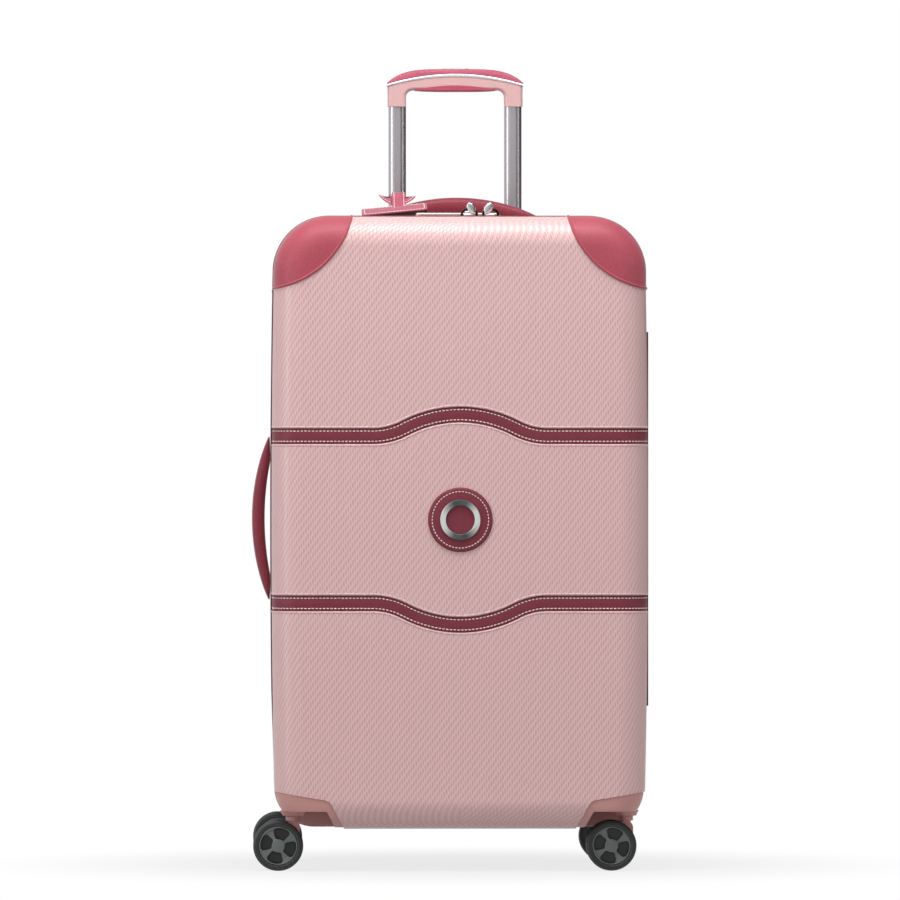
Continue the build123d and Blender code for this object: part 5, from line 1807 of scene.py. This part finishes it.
@dataclass
class CaseLining:
    """Fabric lining of both halves, draped over the wheel wells, the handle guides and the lock."""

    case: CaseForm
    gap: float = 7.2 * MM
    hem: float = 6 * MM
    thick: float = 0.8 * MM
    ripple: float = 0.9 * MM
    ripple_scale: float = 22.0
    wall_rows: int = 10
    bend_rows: int = 8
    floor_rows: int = 14
    middle_z: float = 390 * MM
    lid_panel_y: float = -172.8 * MM
    rear_panel_y: float = 123 * MM
    lid_well_y: float = -83.2 * MM
    rear_well_y: float = 82.4 * MM
    well_x: tuple[float, float] = (112 * MM, 215 * MM)
    well_top: float = 108 * MM
    guide_apart: float = 72 * MM
    guide_half: float = 9 * MM
    guide_y: tuple[float, float] = (18 * MM, 52 * MM)
    guide_under_z: float = 698 * MM
    guide_side_x: float = -178 * MM
    guide_side_z: float = 392 * MM
    lock_half: float = 52 * MM
    lock_y: tuple[float, float] = (-66 * MM, -28 * MM)
    lock_under_z: float = 714 * MM
    # A length that ends outside the case on every side.
    outside: float = 1.0

    def depth(self, half: Half) -> tuple[float, float]:
        """Gives how far into a half its lining reaches.

        Args:
            half: The half of the case.

        Returns:
            Where the lining's edge and its back panel lie along Y.
        """
        near = self.case.rim_y(half) + half.outward * self.hem
        return near, self.lid_panel_y if half is Half.LID else self.rear_panel_y

    def blocks(self, half: Half) -> list[tuple[Vector, Vector, Vector]]:
        """Lists what the lining drapes over.

        Args:
            half: The half of the case.

        Returns:
            The low and the high corner of each box, and the way out of it.
        """
        found = []
        wall = self.lid_well_y if half is Half.LID else self.rear_well_y
        front, back = sorted((wall, half.outward * self.outside))
        for side in (-1, 1):
            left, right = sorted(side * x for x in self.well_x)
            corners = Vector((left, front, 0.0)), Vector((right, back, self.well_top))
            found.append((*corners, Vector((0.0, -half.outward, 0.0))))
        if half is Half.LID:
            return found
        front, back = self.guide_y
        for side in (-1, 1):
            left, right = (side * self.guide_apart + way * self.guide_half for way in (-1, 1))
            corners = Vector((left, front, self.guide_under_z)), Vector((right, back, self.outside))
            found.append((*corners, Vector((0.0, 0.0, -1.0))))
            low = Vector((-self.outside, front, self.guide_side_z + left))
            high = Vector((self.guide_side_x, back, self.guide_side_z + right))
            found.append((low, high, Vector((1.0, 0.0, 0.0))))
        low = Vector((-self.lock_half, self.lock_y[0], self.lock_under_z))
        high = Vector((self.lock_half, self.lock_y[1], self.outside))
        return found + [(low, high, Vector((0.0, 0.0, -1.0)))]

    def spot(self, half: Half, point: Vector, normal: Vector, row: int) -> Vector:
        """Places one point of the cloth as if nothing lay behind it.

        Args:
            half: The half of the case.
            point: The rim's point in X and Z.
            normal: The way out of the rim there.
            row: The row, from the rim to the middle of the back panel.

        Returns:
            The point.
        """
        near, far = self.depth(half)
        bend = self.case.edge - self.gap
        wall = far - half.outward * bend
        if row <= self.wall_rows:
            return point + Vector((0.0, near + (wall - near) * row / self.wall_rows, 0.0))
        row -= self.wall_rows
        if row <= self.bend_rows:
            angle = math.pi / 2 * row / self.bend_rows
            y = wall + half.outward * bend * math.sin(angle)
            return point - bend * (1 - math.cos(angle)) * normal + Vector((0.0, y, 0.0))
        start = point - bend * normal + Vector((0.0, far, 0.0))
        return start.lerp(Vector((0.0, far, self.middle_z)), (row - self.bend_rows) / self.floor_rows)

    def settle(self, spot: Vector, blocks: list[tuple[Vector, Vector, Vector]]) -> Vector:
        """Pushes a point of the cloth out of anything behind it.

        Args:
            spot: The point.
            blocks: What the lining drapes over.

        Returns:
            The point, moved where it lay in a box.
        """
        for low, high, out in blocks:
            if all(low[k] < spot[k] < high[k] for k in range(3)):
                axis = max(range(3), key=lambda k: abs(out[k]))
                spot[axis] = high[axis] if out[axis] > 0 else low[axis]
        return spot

    def drape(self, half: Half) -> Object:
        """Lays the cloth of one half over what is behind it.

        Args:
            half: The half of the case.

        Returns:
            The cloth, still without thickness.
        """
        rim = self.case.outline(-self.gap)
        blocks = self.blocks(half)
        cloth = shaped_grid(
            f"{half.value}_lining_cloth",
            len(rim),
            self.wall_rows + self.bend_rows + self.floor_rows,
            lambda i, j: self.settle(self.spot(half, *rim[i % len(rim)], j), blocks),
            False,
        )
        return edit(cloth, lambda: bpy.ops.mesh.remove_doubles(threshold=1e-6))

    def build(self) -> None:
        """Drapes, wrinkles and thickens the lining of both halves."""
        for half in Half:
            cloth = self.drape(half)
            for vertex in cloth.data.vertices:
                ripple = noise.noise(vertex.co * self.ripple_scale) * self.ripple
                vertex.co += Vector((0.0, -half.outward * abs(ripple), 0.0))
            modify(cloth, "SOLIDIFY", thickness=self.thick, offset=0.0)
            near, far = self.depth(half)
            place_piece(cloth, LINING, half.body, "lining_fabric", f"{half.value}_lining")


@dataclass
class ZipPulls:
    """Zip sliders: a dark bridge loop over each and a bright leaf that leans outwards."""

    loop_half: float = 8.6 * MM
    loop_rise: float = 7.6 * MM
    loop_foot: float = 1.0 * MM
    loop_steps: int = 24
    loop_y: float = -74.0 * MM
    wire: float = 1.5 * MM
    leaf_out: float = 6.0 * MM
    leaf_y: float = -75.0 * MM
    lean: float = math.radians(32)
    leaf: Profile = (
        (0.0, 1.4), (2.0, 3.2), (5.0, 4.8), (8.0, 5.0), (11.0, 4.0), (13.0, 2.3), (13.8, 0.8),
    )
    leaf_thick: float = 1.5 * MM
    leaf_rise: float = 3.4 * MM
    leaf_sides: int = 12
    body_thick: float = 3.6 * MM
    body_round: float = 1.2 * MM

    def bridge(self, node: str, foot: Vector) -> Object:
        """Bends the loop over a slider.

        Args:
            node: The slider's node.
            foot: The middle of the slider's underside.

        Returns:
            The loop.
        """
        path: Path = []
        for i in range(self.loop_steps + 1):
            angle = math.pi * i / self.loop_steps
            spot = Vector((self.loop_half * math.cos(angle), 0.0, self.loop_rise * math.sin(angle)))
            out = Vector((spot.x / self.loop_half**2, 0.0, spot.z / self.loop_rise**2)).normalized()
            path.append((Vector((foot.x, self.loop_y, foot.z + self.loop_foot)) + spot, out))
        return bead(f"{node}_loop", path, self.wire, False, 10)

    def pull(self, node: str, foot: Vector, way: int) -> Object:
        """Models the slider's body and its leaf.

        Args:
            node: The slider's node.
            foot: The middle of the slider's underside.
            way: The side that the leaf leans to.

        Returns:
            The body and the leaf as one piece.
        """
        low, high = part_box(node)
        size = (high.x - low.x, high.y - low.y, self.body_thick)
        body = block("slider", size, self.body_round, 3, foot + Vector((0.0, 0.0, self.body_thick / 2)))
        start = Vector((foot.x - way * self.leaf_out, self.leaf_y, foot.z + self.leaf_rise))
        along = Vector((way * math.sin(self.lean), 0.0, math.cos(self.lean)))
        across = Vector((along.z, 0.0, -along.x))
        lines = []
        for c, s in circle(self.leaf_sides):
            root = start + Vector((0.0, self.leaf_thick / 2 * s, 0.0))
            lines.append([root + run * MM * along + half * MM * c * across for run, half in self.leaf])
        leaf = modify(loft("leaf", lines), "SUBSURF", levels=1, render_levels=1)
        return join(f"{node}_pull", [body, leaf])

    def build(self) -> None:
        """Makes both sliders; the leaves lean away from each other."""
        for hand in Hand:
            node = f"zip_slider_{hand.value}"
            low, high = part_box(node)
            foot = Vector(((low.x + high.x) / 2, (low.y + high.y) / 2, low.z))
            place_piece(self.pull(node, foot, hand.side), CHROME, node, "bright_metal", node)
            place_piece(self.bridge(node, foot), DARK_METAL, node, "dark_metal")


@dataclass
class NodeFinishes:
    """Finishes of the nodes that stay as they are."""

    def build(self) -> None:
        """Gives each kept node its material."""
        kept: dict[Finish, tuple[str, ...]] = {
            SHELL: ("front_shell", "rear_shell"),
            HOUSING: ("front_wheel_housings", "rear_wheel_housings", "trolley_bezel", "fork_"),
            GRIP: ("grip_body",),
            BLACK: ("trolley_foot", "tube_plugs", "handle_guides", "lock_dial_"),
            TUBE: ("trolley_tubes", "trolley_sleeves"),
            CHROME: ("release_button", "lock_latch"),
            RING: ("medallion_ring",),
            STEEL: ("front_swivel_", "rear_swivel_", "axle_", "lock_pin_", "release_rods"),
            ROSE_METAL: ("lock_body",),
        }
        for finish, starts in kept.items():
            for name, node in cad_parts.items():
                if name.startswith(starts):
                    node.data.materials.clear()
                    node.data.materials.append(finish.material())
                    LOG.info("%s takes %s", name, finish.name)


@dataclass
class Studio:
    """Pale floor, soft lamps and the camera at the photograph's angle."""

    camera_at: tuple[float, float, float] = (-0.23, -12.0, 0.5)
    aim: tuple[float, float, float] = (-0.0095, -0.07, 0.4694)
    lens: float = 425.0
    sensor: float = 36.0
    floor_size: float = 16.0
    floor_colour: str = "#AAAAAA"
    fade_from: float = 0.2
    fade_to: float = 0.6
    near_white: float = 0.8
    world_light: float = 0.26
    right_gloss: float = 0.06
    gloss_edge: float = 0.5
    lit_point: tuple[float, float, float] = (0.0, 0.0, 0.45)
    lamps: tuple[tuple[str, tuple[float, float, float], tuple[float, float], float], ...] = (
        ("overhead_softbox", (0.0, -0.8, 2.3), (2.0, 0.9), 46.0),
        ("left_strip", (-2.4, -1.5, 0.9), (0.5, 2.0), 22.0),
        ("right_strip", (2.4, -1.5, 0.9), (0.5, 2.0), 8.0),
        ("front_fill", (0.0, -4.4, 2.3), (2.4, 1.4), 18.0),
    )

    def floor(self) -> None:
        """Lays a pale floor that keeps the shadow near the case and fades to white beyond it."""
        bpy.ops.object.select_all(action="DESELECT")
        bpy.ops.mesh.primitive_plane_add(size=self.floor_size)
        floor = added("studio_floor")
        material = bpy.data.materials.new("studio_white")
        material.use_nodes = True
        tree = material.node_tree
        tree.nodes.clear()
        coords = add_node(tree, "TexCoord")
        away = add_node(tree, "VectorMath", {"operation": "LENGTH"}, {0: coords.outputs["Object"]})
        fade = add_node(
            tree,
            "MapRange",
            {"interpolation_type": "SMOOTHSTEP", 1: self.fade_from, 2: self.fade_to, 3: self.near_white},
            {0: away.outputs["Value"]},
        )
        light = add_node(tree, "LightPath")
        seen = add_node(
            tree,
            "Math",
            {"operation": "MAXIMUM"},
            {0: light.outputs["Is Camera Ray"], 1: light.outputs["Is Glossy Ray"]},
        )
        share = add_node(tree, "Math", {"operation": "MULTIPLY"}, {0: fade, 1: seen})
        matt = add_node(tree, "BsdfDiffuse", {"Color": linear(self.floor_colour)})
        white = add_node(tree, "Emission", {"Strength": 1.0})
        mixed = add_node(tree, "MixShader", EMPTY, {0: share, 1: matt, 2: white})
        add_node(tree, "OutputMaterial", EMPTY, {"Surface": mixed})
        floor.data.materials.append(material)

    def world(self) -> None:
        """Lights the case evenly and shows white behind it."""
        world = bpy.data.worlds.new("studio_world")
        bpy.context.scene.world = world
        world.use_nodes = True
        tree = world.node_tree
        tree.nodes.clear()
        light = add_node(tree, "LightPath")
        seen = add_node(
            tree,
            "Math",
            {"operation": "MAXIMUM"},
            {0: light.outputs["Is Camera Ray"], 1: light.outputs["Is Transmission Ray"]},
        )
        way = add_node(tree, "TexCoord")
        sides = add_node(tree, "SeparateXYZ", EMPTY, {0: way.outputs["Generated"]})
        open_side = add_node(
            tree,
            "MapRange",
            {
                "interpolation_type": "SMOOTHSTEP",
                1: -self.gloss_edge,
                2: self.gloss_edge,
                3: 1.0,
                4: self.right_gloss,
            },
            {0: sides.outputs[0]},
        )
        lit = add_node(
            tree, "Mix", {2: self.world_light}, {0: light.outputs["Is Glossy Ray"], 3: open_side}
        )
        level = add_node(tree, "Math", {"operation": "MAXIMUM"}, {0: seen, 1: lit})
        sky = add_node(tree, "Background", {"Color": (1.0, 1.0, 1.0, 1.0)}, {"Strength": level})
        add_node(tree, "OutputWorld", EMPTY, {"Surface": sky})

    def hang(self, name: str, data: ID, place: Sequence[float], aim: Sequence[float]) -> None:
        """Sets a lamp or a camera in its place and turns it to what it faces.

        Args:
            name: The object's name.
            data: The lamp or the camera.
            place: Where it goes.
            aim: The point that it faces.
        """
        holder = bpy.data.objects.new(name, data)
        holder.location = place
        holder.rotation_euler = (Vector(aim) - Vector(place)).to_track_quat("-Z", "Y").to_euler()
        bpy.context.scene.collection.objects.link(holder)

    def build(self) -> None:
        """Sets the floor, the world, the lamps and the camera."""
        scene = bpy.context.scene
        scene.view_settings.view_transform = "Standard"
        self.floor()
        self.world()
        for name, place, size, power in self.lamps:
            lamp = bpy.data.lights.new(name, "AREA")
            lamp.shape = "RECTANGLE"
            lamp.size, lamp.size_y = size
            lamp.energy = power
            self.hang(name, lamp, place, self.lit_point)
        camera = bpy.data.cameras.new("photo_camera")
        camera.lens = self.lens
        camera.sensor_width = self.sensor
        self.hang("photo_camera", camera, self.camera_at, self.aim)
        scene.camera = scene.objects["photo_camera"]


def main() -> None:
    """Builds every sub-assembly in order."""
    logging.basicConfig(level=logging.INFO)
    case = CaseForm()
    top_base = Matrix.Translation((0.0, HANDLE_Y, case.top))
    turned = Matrix(((0.0, 0.0, -1.0), (0.0, 1.0, 0.0), (1.0, 0.0, 0.0))).to_4x4()
    side_base = Matrix.Translation((-case.half_width, HANDLE_Y, SIDE_HANDLE_Z)) @ turned
    parts = (
        Studio(),
        NodeFinishes(),
        StrapBands(case),
        CornerGuards(case),
        Medallion(),
        ZipLine(case),
        CasterWheels(),
        CarryHandle("top_handle", top_base, TOP_HANDLE_RISE),
        CarryHandle("side_handle", side_base, SIDE_HANDLE_RISE),
        HandleGrip(),
        LuggageTag(),
        CaseLining(case),
        ZipPulls(),
    )
    for part in parts:
        part.build()
        LOG.info("built %s", type(part).__name__)


if __name__ == "__main__":
    main()
